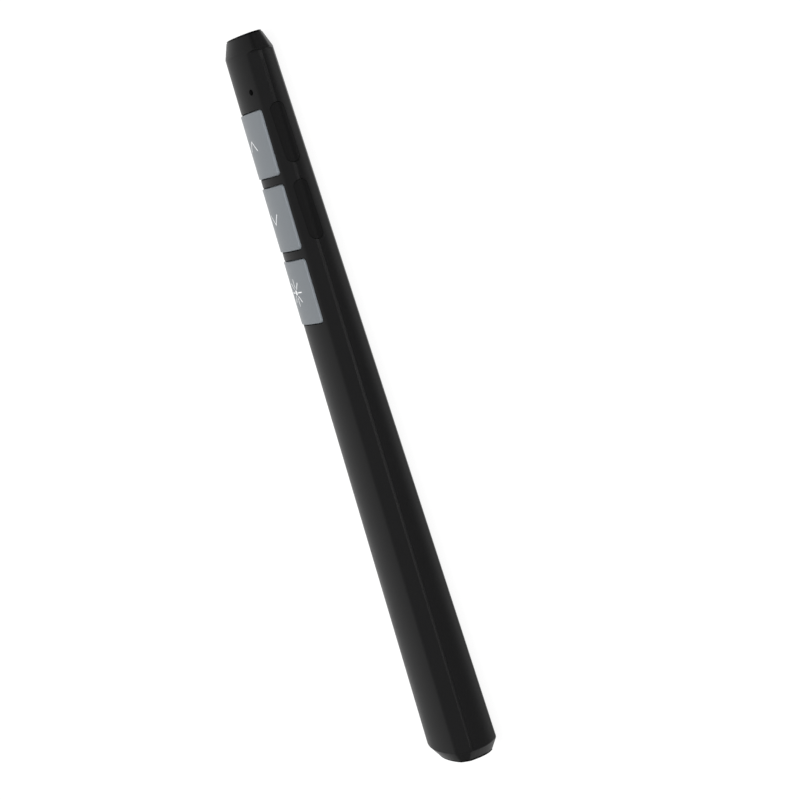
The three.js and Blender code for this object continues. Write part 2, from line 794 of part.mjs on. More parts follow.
function keyCap(key) {
  const outline = { halfWidth: keyWidth / 2, yNose: key.yNose, yTail: key.yTail, corner: keyCorner };
  const cap = solid(crownPad(outline, [
    { offset: keyProud - keyThickness, inset: 0 },
    { offset: keyProud - keyEdge, inset: 0 },
    { offset: keyProud, inset: keyEdge },
  ]));
  const flangeOutline = {
    halfWidth: keyFlangeWidth / 2,
    yNose: key.yNose + keyFlangeLength,
    yTail: key.yTail - keyFlangeLength,
    corner: keyCorner,
  };
  const flangeTop = -wall - keyGap;
  const flange = solid(crownPad(flangeOutline, [
    { offset: flangeTop - keyFlangeThickness, inset: 0 },
    { offset: flangeTop, inset: 0 },
  ]));
  const neckOutline = { halfWidth: keyFlangeWidth / 2, yNose: key.yNose, yTail: key.yTail, corner: keyCorner };
  const neck = solid(crownPad(neckOutline, [
    { offset: flangeTop - keyFlangeThickness / 2, inset: 0 },
    { offset: keyProud - keyThickness / 2, inset: 0 },
  ]));
  const stem = post(0, key.y, plungerTop + seatGap, crownHeight(0, key.y) - wall, keyStemRadius);
  return cap.add(neck).add(flange).add(solid(stem));
}

function switchHousing(key) {
  const half = switchSize / 2;
  const box = solid(block([-half, key.y - half, boardTop + seatGap], [half, key.y + half, switchTop]));
  const well = post(0, key.y, switchTop - plungerWell, switchTop + overrun, plungerRadius + plungerGap);
  return box.subtract(solid(well));
}

function switchPlunger(key) {
  const bottom = switchTop - plungerWell + keyTravel + plungerFlange / 2;
  return post(0, key.y, bottom, plungerTop, plungerRadius);
}

for (const key of keys) {
  addPiece(`key_${key.name}`, keyCap(key), greyPlastic);
  addPiece(`plunger_${key.name}`, switchPlunger(key), darkPlastic);
  addPiece(`switch_${key.name}`, switchHousing(key), switchSteel);
}

// Side keys with their switches
const sideSwitchOuterX = boardHalfWidth + seatGap;
const sideSwitchDepth = boardHalfWidth - switchSize / 2 - sideSwitchSpacing;

// Cap with a tab at each end, which starts just outside the cap's inner face
function sideKeyCap(site) {
  const innerX = sideKeyInnerX(site);
  const bar = solid(barAlongX({
    xLow: innerX,
    xHigh: halfWidthAt(site.y) + overrun,
    y: site.y,
    z: site.z,
    length: sideKeyLength,
    height: site.height,
    corner: site.height / 2,
  }));
  const tab = barAlongX({
    xLow: innerX + seatGap,
    xHigh: innerX + sideKeyTabThickness,
    y: site.y,
    z: site.plane,
    length: sideKeyLength + 2 * sideKeyTabLength,
    height: sideKeyTabHeight,
    corner: sideKeyTabHeight / 4,
  });
  return bar.intersect(bodyForm(sideKeySink, 0)).add(solid(tab));
}

function sideSwitch(site) {
  const low = boardTop + seatGap;
  const innerX = sideSwitchOuterX - sideSwitchDepth;
  const half = sideSwitchLength / 2;
  const high = low + sideSwitchHeight;
  const box = solid(block([innerX, site.y - half, low], [sideSwitchOuterX, site.y + half, high]));
  const well = block(
    [sideSwitchOuterX - plungerWell, site.y - sidePlungerLength / 2 - plungerGap, sidePlungerLow - plungerGap],
    [sideSwitchOuterX + overrun, site.y + sidePlungerLength / 2 + plungerGap, sidePlungerHigh + plungerGap],
  );
  return box.subtract(solid(well));
}

const sidePlungerLow = boardTop + seatGap + (sideSwitchHeight - sidePlungerHeight) / 2;
const sidePlungerHigh = sidePlungerLow + sidePlungerHeight;

function sidePlunger(site) {
  const innerX = sideSwitchOuterX - plungerWell + keyTravel + plungerFlange / 2;
  return block(
    [innerX, site.y - sidePlungerLength / 2, sidePlungerLow],
    [sideKeyInnerX(site) - seatGap, site.y + sidePlungerLength / 2, sidePlungerHigh],
  );
}

for (const site of sideKeys) {
  addPiece(`side_key_${site.name}`, sideKeyCap(site), blackPlastic);
  addPiece(`side_plunger_${site.name}`, sidePlunger(site), darkPlastic);
  addPiece(`side_switch_${site.name}`, sideSwitch(site), switchSteel);
}

// Main board with a notch for the laser, an arm for the lamp and holes for screws and bosses
function mainBoard() {
  const noseY = laserTailY - laserBoardThickness - boardNotchGap;
  const armInner = laserBarrelRadius + boardArmGap;
  let board = solid(block([-boardHalfWidth, boardTailY, boardBottom], [boardHalfWidth, noseY, boardTop]));
  const arm = block([armInner, noseY - overrun, boardBottom], [boardHalfWidth, lampY + boardArmPast, boardTop]);
  board = board.add(solid(arm));
  for (const y of housingScrewYs) {
    const hole = post(0, y, boardBottom - overrun, boardTop + overrun, bossRadius + keyGap);
    board = board.subtract(solid(hole));
  }
  for (const { x, y } of boardScrewSites) {
    const hole = post(x, y, boardBottom - overrun, boardTop + overrun, boardShankRadius + boardScrewGap);
    board = board.subtract(solid(hole));
  }
  return board;
}

function chip(x, y, { length, width, height }) {
  const low = boardTop + seatGap;
  return block([x - width / 2, y - length / 2, low], [x + width / 2, y + length / 2, low + height]);
}

const boardSide = ({ sideShare }) => boardHalfWidth * sideShare;
const chargerY = (keys[1].y + keys[2].y) / 2;

addPiece('main_board', mainBoard(), boardGreen);
addPiece('radio_chip', chip(boardSide(radioChip), behindKeys(radioChip.behindKeys), radioChip), chipBlack);
const crystalY = behindKeys(crystalCan.behindKeys);
const antennaY = boardTailY + antennaChip.fromTail;
addPiece('crystal_can', chip(boardSide(crystalCan), crystalY, crystalCan), switchSteel);
addPiece('antenna_chip', chip(boardSide(antennaChip), antennaY, antennaChip), clearPlastic);
addPiece('charger_chip', chip(boardSide(chargerChip), chargerY, chargerChip), chipBlack);

// Indicator lamp and its light pipe
const lampSize = { length: lampWidth, width: lampDepth, height: lampHeight };

function lightPipe() {
  const top = crownHeight(lampOffset, lampY);
  const bottom = boardTop + lampHeight + 2 * seatGap;
  const collarTop = top - wall - lampCollarThickness;
  const shaft = solid(post(lampOffset, lampY, bottom, top - seatGap, lampPipeRadius));
  const collar = solid(post(lampOffset, lampY, collarTop - lampCollarThickness, collarTop, lampCollarRadius));
  return shaft.add(collar);
}

addPiece('indicator_lamp', chip(lampOffset, lampY, lampSize), clearPlastic);
addPiece('light_pipe', lightPipe(), smokedPlastic);

// Laser module: barrel with lens in front, diode can and driver board behind
function latheAlongY(profile, yStart, z) {
  const points = profile.map(([radius, along]) => new THREE.Vector2(radius, along));
  return outward(new THREE.LatheGeometry(points, roundSegments).translate(0, yStart, z));
}

function laserBarrel() {
  const stopY = laserNoseY - laserLensSetback - laserLensThickness - laserStopLength;
  const tube = solid(rodAlongY(0, laserTailY, laserNoseY, laserAxisHeight, laserBarrelRadius));
  const bore = (yLow, yHigh, radius) => rodAlongY(0, yLow, yHigh, laserAxisHeight, radius);
  const narrow = bore(laserTailY - overrun, laserNoseY + overrun, laserBoreRadius * laserStopShare);
  const rearBore = bore(laserTailY - overrun, stopY, laserBoreRadius);
  const frontBore = bore(stopY + laserStopLength, laserNoseY + overrun, laserBoreRadius);
  return tube.subtract(solid(narrow)).subtract(solid(rearBore)).subtract(solid(frontBore));
}

function laserLens() {
  const radius = laserBoreRadius - seatGap;
  const edge = laserLensThickness / 2;
  const profile = [
    [0, 0],
    [radius, 0],
    [radius, edge],
    [radius * Math.SQRT1_2, mix(edge, laserLensThickness, Math.SQRT1_2)],
    [0, laserLensThickness],
  ];
  return latheAlongY(profile, laserNoseY - laserLensSetback - laserLensThickness + seatGap, laserAxisHeight);
}

function laserDiode() {
  const flangeLength = laserDiodeLength / 3;
  const flangeRadius = laserBoreRadius - laserDiodeGap;
  const canRadius = flangeRadius * Math.SQRT1_2;
  const profile = [
    [0, 0],
    [flangeRadius, 0],
    [flangeRadius, flangeLength],
    [canRadius, flangeLength],
    [canRadius, laserDiodeLength],
    [0, laserDiodeLength],
  ];
  return latheAlongY(profile, laserTailY + seatGap, laserAxisHeight);
}

const laserBoardLow = laserTailY - laserBoardThickness;
const laserBoard = rodAlongY(0, laserBoardLow, laserTailY - seatGap, laserAxisHeight, laserBoreRadius);

addPiece('laser_barrel', laserBarrel(), brass);
addPiece('laser_lens', laserLens(), clearPlastic);
addPiece('laser_diode', laserDiode(), brass);
addPiece('laser_board', laserBoard, boardGreen);

// Battery cell on its foam pad
const batteryCell = barAlongY({
  yLow: batteryTailY,
  yHigh: batteryNoseY,
  x: 0,
  z: batteryBottom + batteryThickness / 2,
  width: batteryWidth,
  height: batteryThickness,
  corner: batteryEdge,
});
const batteryPad = block(
  [-batteryWidth / 2 + padSideMargin, batteryTailY + padEndMargin, wall + seatGap],
  [batteryWidth / 2 - padSideMargin, batteryNoseY - padEndMargin, batteryBottom - seatGap],
);

addPiece('battery_cell', batteryCell, cellFoil);
addPiece('battery_pad', batteryPad, foamGrey);

// Charging port: an open shell with a tongue inside
const portOuterX = -halfWidthAt(portY) + portRecess;
const portInnerX = portOuterX + portDepth;
const portBar = (xLow, xHigh, shrink) => barAlongX({
  xLow,
  xHigh,
  y: portY,
  z: portZ,
  length: portLength - 2 * shrink,
  height: portHeight - 2 * shrink,
  corner: portHeight / 2 - shrink,
});

function chargingPort() {
  const cup = solid(portBar(portOuterX, portInnerX, 0));
  return cup.subtract(solid(portBar(portOuterX - overrun, portInnerX - tongueRoot, portWall)));
}

const chargingTongue = block(
  [portOuterX + tongueSetback, portY - tongueWidth / 2, portZ - tongueThickness / 2],
  [portInnerX - tongueRoot - seatGap, portY + tongueWidth / 2, portZ + tongueThickness / 2],
);

addPiece('charging_port', chargingPort(), switchSteel);
addPiece('charging_tongue', chargingTongue, chipBlack);

// Power slider with its lever and switch
const sliderOuterX = -halfWidthAt(powerY) + sliderSink;
const sliderFlangeLength = sliderLength + 2 * sliderTravel + 2 * sliderFlangeOverlap;
const sliderReachY = powerY + sliderFlangeLength / 2 + sliderTravel;
const sliderFlangeOuterX = -innerHalfAt(sliderReachY) + sliderFlangeSetback;
const sliderInnerX = sliderFlangeOuterX + sliderFlangeThickness;
const powerSwitchOuterX = -boardHalfWidth;
const leverZ = boardTop + seatGap + powerSwitchHeight / 2;

function powerSlider() {
  let slider = solid(barAlongX({
    xLow: sliderOuterX,
    xHigh: sliderInnerX,
    y: powerY,
    z: powerZ,
    length: sliderLength,
    height: sliderHeight,
    corner: sliderHeight / 2,
  }));
  const flange = block(
    [sliderFlangeOuterX, powerY - sliderFlangeLength / 2, powerZ - sliderFlangeHeight / 2],
    [sliderInnerX, powerY + sliderFlangeLength / 2, powerZ + sliderFlangeHeight / 2],
  );
  slider = slider.add(solid(flange));
  const spread = sliderLength - sliderHeight;
  for (let i = 0; i < sliderRibs; i += 1) {
    const y = powerY + mix(-spread / 2, spread / 2, (i + 1 / 2) / sliderRibs);
    const groove = block(
      [sliderOuterX - overrun, y - sliderRibWidth / 2, powerZ - sliderHeight],
      [sliderOuterX + sliderRibDepth, y + sliderRibWidth / 2, powerZ + sliderHeight],
    );
    slider = slider.subtract(solid(groove));
  }
  return slider;
}

const powerLever = block(
  [sliderInnerX + seatGap, powerY - leverLength / 2, leverZ - leverHeight / 2],
  [powerSwitchOuterX + leverSeat, powerY + leverLength / 2, leverZ + leverHeight / 2],
);

function powerSwitch() {
  const low = boardTop + seatGap;
  const box = solid(block(
    [powerSwitchOuterX, powerSwitchY - powerSwitchLength / 2, low],
    [powerSwitchOuterX + powerSwitchDepth, powerSwitchY + powerSwitchLength / 2, low + powerSwitchHeight],
  ));
  const slot = block(
    [powerSwitchOuterX - overrun, powerY - leverLength / 2 - plungerGap, leverZ - leverHeight / 2 - plungerGap],
    [
      powerSwitchOuterX + leverSeat + plungerGap,
      powerY + leverLength / 2 + sliderTravel + plungerGap,
      leverZ + leverHeight / 2 + plungerGap,
    ],
  );
  return box.subtract(solid(slot));
}

addPiece('power_slider', powerSlider(), darkPlastic);
addPiece('power_lever', powerLever, darkPlastic);
addPiece('power_switch', powerSwitch(), switchSteel);

// Receiver: grip head, hollow plug shell with windows, contact insert
function receiverHead() {
  const head = solid(barAlongY({
    yLow: tailTipY,
    yHigh: headInnerY,
    x: 0,
    z: receiverHeight,
    width: headWidth,
    height: headHeight,
    corner: headCorner,
  }));
  const radius = nailGrooveRadius;
  const groove = new THREE.CylinderGeometry(radius, radius, nailGrooveLength, roundSegments);
  groove.rotateZ(Math.PI / 2).translate(0, tailTipY, receiverHeight);
  return head.subtract(solid(groove));
}

function receiverPlug() {
  const low = headInnerY + seatGap;
  const bar = (yLow, yHigh, shrink) => solid(barAlongY({
    yLow,
    yHigh,
    x: 0,
    z: receiverHeight,
    width: plugWidth - 2 * shrink,
    height: plugHeight - 2 * shrink,
    corner: plugWall + seatGap - shrink,
  }));
  let plug = bar(low, plugTipY, 0).subtract(bar(low - overrun, plugTipY + overrun, plugWall));
  for (const side of [-1, 1]) {
    const x = side * plugWindowOffset;
    const y = plugTipY - plugWindowFromTip;
    const window = block(
      [x - plugWindow / 2, y - plugWindow / 2, receiverHeight],
      [x + plugWindow / 2, y + plugWindow / 2, receiverHeight + plugHeight],
    );
    plug = plug.subtract(solid(window));
  }
  return plug;
}

const insertHalfWidth = plugWidth / 2 - plugWall - insertSideGap;
const insertLow = receiverHeight - plugHeight / 2 + plugWall + seatGap;
const receiverInsert = block(
  [-insertHalfWidth, headInnerY + seatGap, insertLow],
  [insertHalfWidth, plugTipY - insertSetback, insertLow + insertThickness],
);

// Dock: a sleeve round the plug, closed at its inner end
function receiverDock() {
  const sleeve = solid(barAlongY({
    yLow: dockMouthY,
    yHigh: dockEndY,
    x: 0,
    z: (dockBottom + dockTop) / 2,
    width: dockWidth,
    height: dockTop - dockBottom,
    corner: dockEdge,
  }));
  const hole = barAlongY({
    yLow: dockMouthY - overrun,
    yHigh: dockHoleEndY,
    x: 0,
    z: receiverHeight,
    width: plugWidth + 2 * plugGap,
    height: plugHeight + 2 * plugGap,
    corner: plugWall + plugGap,
  });
  return sleeve.subtract(solid(hole));
}

addPiece('receiver_head', receiverHead(), blackPlastic);
addPiece('receiver_plug', receiverPlug(), switchSteel);
addPiece('receiver_insert', receiverInsert, chipBlack);
addPiece('receiver_dock', receiverDock(), darkPlastic);

// Screws. The housing screws drive up from the back, the board screws down from above.
function housingScrew(y) {
  const headTop = housingCounterbore - seatGap;
  const shankTop = headTop + housingShankLength;
  const head = solid(post(0, y, headTop - housingHeadHeight, headTop, housingHeadRadius));
  return head.add(solid(post(0, y, headTop - housingHeadHeight / 2, shankTop, housingShankRadius)));
}

function boardScrew({ x, y }) {
  const headBottom = boardTop + seatGap;
  const head = solid(post(x, y, headBottom, headBottom + boardHeadHeight, boardHeadRadius));
  const shankBottom = boardTop - boardShankLength;
  return head.add(solid(post(x, y, shankBottom, headBottom + boardHeadHeight / 2, boardShankRadius)));
}

housingScrewYs.forEach((y, i) => addPiece(`housing_screw_${i + 1}`, housingScrew(y), screwSteel));
boardScrewSites.forEach((site, i) => addPiece(`board_screw_${i + 1}`, boardScrew(site), screwSteel));

export default group;
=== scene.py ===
import math

import bmesh
import bpy
import numpy as np
from mathutils import Matrix, Vector


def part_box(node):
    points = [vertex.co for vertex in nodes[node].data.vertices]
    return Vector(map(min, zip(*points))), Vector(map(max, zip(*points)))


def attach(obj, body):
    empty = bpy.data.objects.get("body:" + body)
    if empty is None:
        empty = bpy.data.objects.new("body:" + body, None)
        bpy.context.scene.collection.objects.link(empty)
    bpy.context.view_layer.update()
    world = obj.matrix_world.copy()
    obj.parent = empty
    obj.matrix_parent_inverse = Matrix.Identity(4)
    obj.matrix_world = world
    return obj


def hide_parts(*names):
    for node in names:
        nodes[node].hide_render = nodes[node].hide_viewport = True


# Wireless presenter. Shapes are worked out in millimetres and turned into metres as each piece is made.
# X runs across, Y towards the nose and Z up from the belly.
MM = 0.001
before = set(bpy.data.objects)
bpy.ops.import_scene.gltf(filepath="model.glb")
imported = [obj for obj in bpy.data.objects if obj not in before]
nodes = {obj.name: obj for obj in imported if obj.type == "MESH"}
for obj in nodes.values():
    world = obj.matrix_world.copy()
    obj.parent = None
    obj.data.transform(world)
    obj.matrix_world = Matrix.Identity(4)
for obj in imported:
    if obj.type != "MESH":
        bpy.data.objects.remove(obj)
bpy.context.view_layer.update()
QUARTER = math.pi / 2
EIGHTH = math.pi / 8


def box_mm(node):
    low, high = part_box(node)
    return low / MM, high / MM


def mix(a, b, share):
    return a + (b - a) * share


# Body, given at its nose end and at its tail end
BODY_LENGTH = 150
NOSE_WIDTH, TAIL_WIDTH = 18.6, 22.1
NOSE_FACET, TAIL_FACET = 2.1, 2.6
NOSE_RISE, TAIL_RISE = 4.41, 6.25
NOSE_DROP, TAIL_DROP = 4.26, 6.16
NOSE_CUT, TAIL_CUT = 0.39, 0.38
NOSE_RADIUS, TAIL_RADIUS = 16, 23.2
RIDGE_RADIUS = 0.8
SIDE_BULGE_SHARE = 0.04
SOFT_SIDE_SHARE = 0.55
SOFT_FACET_SHARE = 0.65
WALL = 1.2
PARTING_BELOW_RIDGE = 0.5
PARTING_GAP = 0.03

# Tapered nose with a collar of fuller corners, and chamfered tail
NOSE_TAPER = {"length": 3.4, "drop": 1.1, "inset": 1.5, "corner": 0.5}
TAIL_TAPER = {"length": 2.5, "drop": 1.36, "inset": 2.3, "corner": 1.6}
COLLAR_LENGTH = 0.3
COLLAR_SLANT = 0.42
PLATE_THICKNESS = 0.3
PLATE_INSET = 0.15
PLATE_EDGE = 0.04
SEAT_GAP = 0.05
EDGE_BREAK = 0.12
CREASE_RUN = 0.35

TIP_Y = BODY_LENGTH / 2
NOSE_SHELL_Y = TIP_Y - PLATE_THICKNESS - SEAT_GAP
TAIL_SHELL_Y = -NOSE_SHELL_Y
NOSE_TAPER_Y = TIP_Y - NOSE_TAPER["length"]
TAIL_TAPER_Y = TAIL_TAPER["length"] - TIP_Y
RING_SPACING = 2.0

# Counts of steps and points along curved stretches
CROWN_STEPS = 22
CREASE_STEPS = 4
RIDGE_STEPS = 8
SOFT_STEPS = 14
SIDE_STEPS = 10
FLAT_POINTS = 4
EDGE_STEPS = 4
CORNER_STEPS = 6
PAD_POINTS = 14
ROD_STEPS = 12
ROUND_ROD_STEPS = 18
CREASE_RINGS = 7
CREASE_SAMPLES = 9


class Size:
    """One section: half width, half width of the crown, rise, drop, height of the middle line, crown radius,
    and height of the flat on its belly"""

    def __init__(self, half, face, front, back, datum, radius, floor=0.0):
        self.half, self.face, self.front, self.back = half, face, front, back
        self.datum, self.radius, self.floor = datum, radius, floor

    def values(self):
        return np.array([self.half, self.face, self.front, self.back, self.datum, self.radius, self.floor])

    def crown(self, x):
        return self.datum + self.front - self.radius + math.sqrt(self.radius**2 - x**2)

    def belly(self, x):
        return self.datum - self.back + self.radius - math.sqrt(self.radius**2 - x**2)

    def ridge(self):
        return self.crown(self.face) - (self.half - self.face)

    def lower_ridge(self):
        return self.belly(self.face) + (self.half - self.face)

    def tapered(self, taper):
        half = self.half - taper["inset"]
        drop = taper["drop"]
        return Size(half, half - taper["corner"], self.front - drop, self.back - drop, self.datum,
                    self.radius - drop, self.floor + drop)

    def inset(self, distance):
        shift = distance * math.sqrt(2)
        upper = self.half + self.ridge() - shift
        lower = self.half - self.lower_ridge() - shift
        half = min(self.half - distance, (upper + lower - RIDGE_RADIUS / 4) / 2)
        radius = self.radius - distance
        corner = upper - (self.datum + self.front - self.radius)
        crossing = (corner - math.sqrt(2 * radius**2 - corner**2)) / 2
        return Size(half, min(crossing, half - EDGE_BREAK), self.front - distance, self.back - distance,
                    self.datum, radius, self.floor + distance)


def end_size(width, facet, rise, drop, cut, radius):
    return Size(width / 2, width / 2 - facet, rise, drop, drop - cut, radius)


NOSE = end_size(NOSE_WIDTH, NOSE_FACET, NOSE_RISE, NOSE_DROP, NOSE_CUT, NOSE_RADIUS)
TAIL = end_size(TAIL_WIDTH, TAIL_FACET, TAIL_RISE, TAIL_DROP, TAIL_CUT, TAIL_RADIUS)


def body_share(y):
    return (TIP_Y - y) / BODY_LENGTH


def size_at(y):
    return Size(*mix(NOSE.values(), TAIL.values(), body_share(y)))


def crown_height(x, y):
    share = body_share(y)
    across = x / mix(NOSE.face, TAIL.face, share)
    return mix(NOSE.crown(across * NOSE.face), TAIL.crown(across * TAIL.face), share)


def ridge_at(y):
    return mix(NOSE.ridge(), TAIL.ridge(), body_share(y))


def half_at(y):
    return mix(NOSE.half, TAIL.half, body_share(y))


def bend(start, corner, end, steps):
    """Points of a curve that leaves start and meets end along the lines through corner"""
    t = np.linspace(0, 1, steps + 1)[:, None]
    start, corner, end = (np.array(p, float) for p in (start, corner, end))
    return (1 - t) ** 2 * start + 2 * t * (1 - t) * corner + t**2 * end


def crease(curve, face, run, sign):
    """Soft bend from a crown or belly curve into the 45 degree corner facet, and where it ends"""
    start_x = face - run
    start_z = curve(start_x)
    step = run / 100
    slope = (curve(start_x) - curve(start_x - step)) / step
    edge = curve(face)
    corner_x = (sign * (edge - start_z) + face + sign * slope * start_x) / (1 + sign * slope)
    corner = (corner_x, start_z + slope * (corner_x - start_x))
    end = (face + run * math.sqrt(0.5), edge - sign * run * math.sqrt(0.5))
    return bend((start_x, start_z), corner, end, CREASE_STEPS)


def soft_ridge(size, start, turned):
    """Wide bend from the side into the lower corner facet"""
    lower = size.lower_ridge()
    down = np.array([math.sin(turned), -math.cos(turned)])
    along = (start[1] - lower - start[0] + size.half) / (down[0] - down[1])
    corner = np.array(start) + along * down
    reach = SOFT_FACET_SHARE * (size.half - size.face)
    return bend(start, corner, (size.half - reach, lower - reach), SOFT_STEPS)


def half_outline(size):
    """Right half of a section, from the top of the crown to the middle of the flat"""
    run = min(CREASE_RUN, (size.half - size.face) / 3)
    blend = RIDGE_RADIUS * math.tan(EIGHTH)
    slant = blend * math.sqrt(0.5)
    ridge, lower = size.ridge(), size.lower_ridge()
    chord = ridge - lower - 2 * blend
    bulge = SIDE_BULGE_SHARE * (ridge - lower)
    arc = (chord**2 / 4 + bulge**2) / (2 * bulge)
    lean = math.asin(chord / 2 / arc)
    back = blend / (math.cos(lean) - math.sin(lean))
    top = [(x, size.crown(x)) for x in np.linspace(0, size.face - run, CROWN_STEPS + 1)]
    upper_crease = crease(size.crown, size.face, run, 1)
    upper_corner = (size.half - back * math.sin(lean), ridge - blend + back * math.cos(lean))
    upper_ends = (size.half - slant, ridge + slant), (size.half, ridge - blend)
    upper_ridge = bend(upper_ends[0], upper_corner, upper_ends[1], RIDGE_STEPS)
    middle = (ridge + lower) / 2
    soft_start = mix(lower, ridge - blend, SOFT_SIDE_SHARE)
    turn = np.linspace(lean, math.asin((soft_start - middle) / arc), SIDE_STEPS + 1)
    side = [(size.half + bulge - arc + arc * math.cos(a), middle + arc * math.sin(a)) for a in turn]
    lower_ridge = soft_ridge(size, side[-1], turn[-1])
    lower_crease = crease(size.belly, size.face, run, -1)[::-1]
    depth = size.back - size.datum + size.floor
    flat = math.sqrt(2 * size.radius * depth - depth**2)
    belly = [(x, size.belly(x)) for x in np.linspace(size.face - run, flat, CROWN_STEPS // 2 + 1)]
    bottom = [(x, size.floor) for x in np.linspace(flat, 0, FLAT_POINTS)]
    return {
        "upper": np.array(top[:-1] + list(upper_crease) + list(upper_ridge)),
        "side": np.array(side),
        "lower": np.array(list(lower_ridge) + list(lower_crease) + belly[1:-1] + bottom),
    }


def right_half(halves):
    """The three stretches of a half outline as one line"""
    return np.vstack([halves["upper"][:-1], halves["side"], halves["lower"][1:]])


def side_part(side, parting, above):
    """The stretch of a side curve above or below a height, with as many points on every section"""
    order = np.argsort(side[:, 1])
    limits = (parting, side[:, 1].max()) if above else (side[:, 1].min(), parting)
    heights = np.linspace(limits[1], limits[0], SIDE_STEPS)
    return np.column_stack([np.interp(heights, side[order, 1], side[order, 0]), heights])


def both_sides(right):
    """Outline from the left end over the middle to the right end, from its right half"""
    left = right[:0:-1] * np.array([-1, 1])
    return np.vstack([left, right])


def whole_outline(right, split):
    """Outline of a whole section from its right half, which is split into an upper and a lower part"""
    return np.vstack([both_sides(right[: split + 1]), both_sides(right[split:][::-1])[::-1]])


def outer_curve(size, parting, above):
    halves = half_outline(size)
    side = side_part(halves["side"], parting, above)
    if above:
        return both_sides(np.vstack([halves["upper"][:-1], side]))
    return both_sides(np.vstack([side[:-1], halves["lower"][1:]])[::-1])


def inner_curve(size, parting, above, count):
    """Plain inner outline with the same number of points as the outer one"""
    slant = size.half + size.ridge()
    curve = size.crown if above else size.belly
    ridge = max(size.ridge(), parting) if above else size.lower_ridge()
    edge = min(size.half, slant - parting) if above else size.half
    top = [(x, max(curve(x), size.floor)) for x in np.linspace(0, size.face, CROWN_STEPS)]
    corner = [(edge, ridge), (edge, parting)] if edge == size.half else [(edge, parting)]
    points = np.array(top + corner)
    along = np.concatenate([[0], np.cumsum(np.hypot(*np.diff(points, axis=0).T))])
    even = np.linspace(0, along[-1], (count + 1) // 2)
    right = np.column_stack([np.interp(even, along, points[:, i]) for i in range(2)])
    return both_sides(right)


def shell_ring(size, parting, above):
    outer = outer_curve(size, parting, above)
    inner = inner_curve(size.inset(WALL), parting, above, len(outer))
    return np.vstack([outer, inner[::-1]])


def key_sections():
    """Sections that the body runs straight between, as pairs of Y and size, tail first"""
    collar = size_at(NOSE_TAPER_Y)
    collar.face = collar.half - NOSE_TAPER["corner"]
    step_y = NOSE_TAPER_Y - COLLAR_LENGTH
    return [
        (TAIL_SHELL_Y, size_at(TAIL_SHELL_Y).tapered(TAIL_TAPER)),
        (TAIL_TAPER_Y, size_at(TAIL_TAPER_Y)),
        (step_y - EDGE_BREAK, size_at(step_y - EDGE_BREAK)),
        (step_y, collar),
        (NOSE_TAPER_Y, collar),
        (NOSE_SHELL_Y, size_at(NOSE_SHELL_Y).tapered(NOSE_TAPER)),
    ]


def body_rings(section_of):
    """Rings along the body, with the creases across it broken by a small soft bend"""
    stations = key_sections()
    ys = np.array([y for y, _ in stations])
    shapes = np.array([section_of(y, size) for y, size in stations])

    def straight(y):
        y = min(max(y, ys[0]), ys[-1])
        i = min(np.searchsorted(ys, y, side="right") - 1, len(ys) - 2)
        return mix(shapes[i], shapes[i + 1], (y - ys[i]) / (ys[i + 1] - ys[i]))

    places = set(np.linspace(ys[1], ys[2], int((ys[2] - ys[1]) / RING_SPACING)))
    for y in ys[1:-1]:
        places.update(y + EDGE_BREAK * np.linspace(-1, 1, CREASE_RINGS))
    places.update([ys[0], ys[-1]])
    rings = []
    for y in sorted(places):
        reach = min(EDGE_BREAK, y - ys[0], ys[-1] - y)
        soft = np.mean([straight(y + reach * k) for k in np.linspace(-1, 1, CREASE_SAMPLES)], axis=0)
        near_collar = abs(y - NOSE_TAPER_Y + COLLAR_LENGTH / 2) < COLLAR_LENGTH
        slant = COLLAR_SLANT if near_collar else 0
        height = (soft[:, 1] - NOSE.datum) / NOSE.front
        lean = slant * height * (soft[:, 0] / NOSE.half) ** 2
        rings.append(np.column_stack([soft[:, 0], y + lean, soft[:, 1]]))
    return rings


# Mesh helpers. A ring's first half pairs with its second half turned round, which is how the ends close.
WELD = 1e-5
TINY_CORNER = WELD * 10
SHARP_ANGLE = math.radians(32)


def solid(name, rings):
    count = len(rings[0])
    points = np.vstack(rings)
    faces = []
    for r in range(len(rings) - 1):
        for i in range(count):
            j = (i + 1) % count
            faces.append((r * count + i, r * count + j, (r + 1) * count + j, (r + 1) * count + i))
    last = (len(rings) - 1) * count
    for i in range(count // 2 - 1):
        a, b, c, d = i, i + 1, count - 2 - i, count - 1 - i
        faces.append((d, c, b, a))
        faces.append((last + a, last + b, last + c, last + d))
    mesh = bpy.data.meshes.new(name)
    mesh.from_pydata(points.tolist(), [], faces)
    return tidied(link(name, mesh))


def link(name, data):
    obj = bpy.data.objects.new(name, data)
    bpy.context.scene.collection.objects.link(obj)
    return obj


def tidied(obj):
    """Merges doubled points and turns all faces outwards"""
    cage = bmesh.new()
    cage.from_mesh(obj.data)
    bmesh.ops.remove_doubles(cage, verts=cage.verts, dist=WELD)
    bmesh.ops.recalc_face_normals(cage, faces=cage.faces)
    cage.to_mesh(obj.data)
    cage.free()
    return obj


def combine(obj, others, operation):
    """Cuts or joins a piece with others, which are used up"""
    for other in others:
        step = obj.modifiers.new("step", "BOOLEAN")
        step.operation, step.solver, step.object = operation, "EXACT", other
        graph = bpy.context.evaluated_depsgraph_get()
        mesh = bpy.data.meshes.new_from_object(obj.evaluated_get(graph))
        obj.modifiers.clear()
        obj.data = mesh
        bpy.data.objects.remove(other)
    return obj


def finished(obj, body, replaced, material):
    """Gives a piece its size in metres, smooth shading with sharp edges kept, its finish and its body"""
    obj.data.transform(Matrix.Scale(MM, 4))
    obj.data.shade_smooth()
    obj.data.set_sharp_from_angle(angle=SHARP_ANGLE)
    weighted = obj.modifiers.new("even shading", "WEIGHTED_NORMAL")
    weighted.keep_sharp = True
    obj.data.materials.clear()
    obj.data.materials.append(material)
    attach(obj, body)
    if replaced:
        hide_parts(*replaced)
    return obj


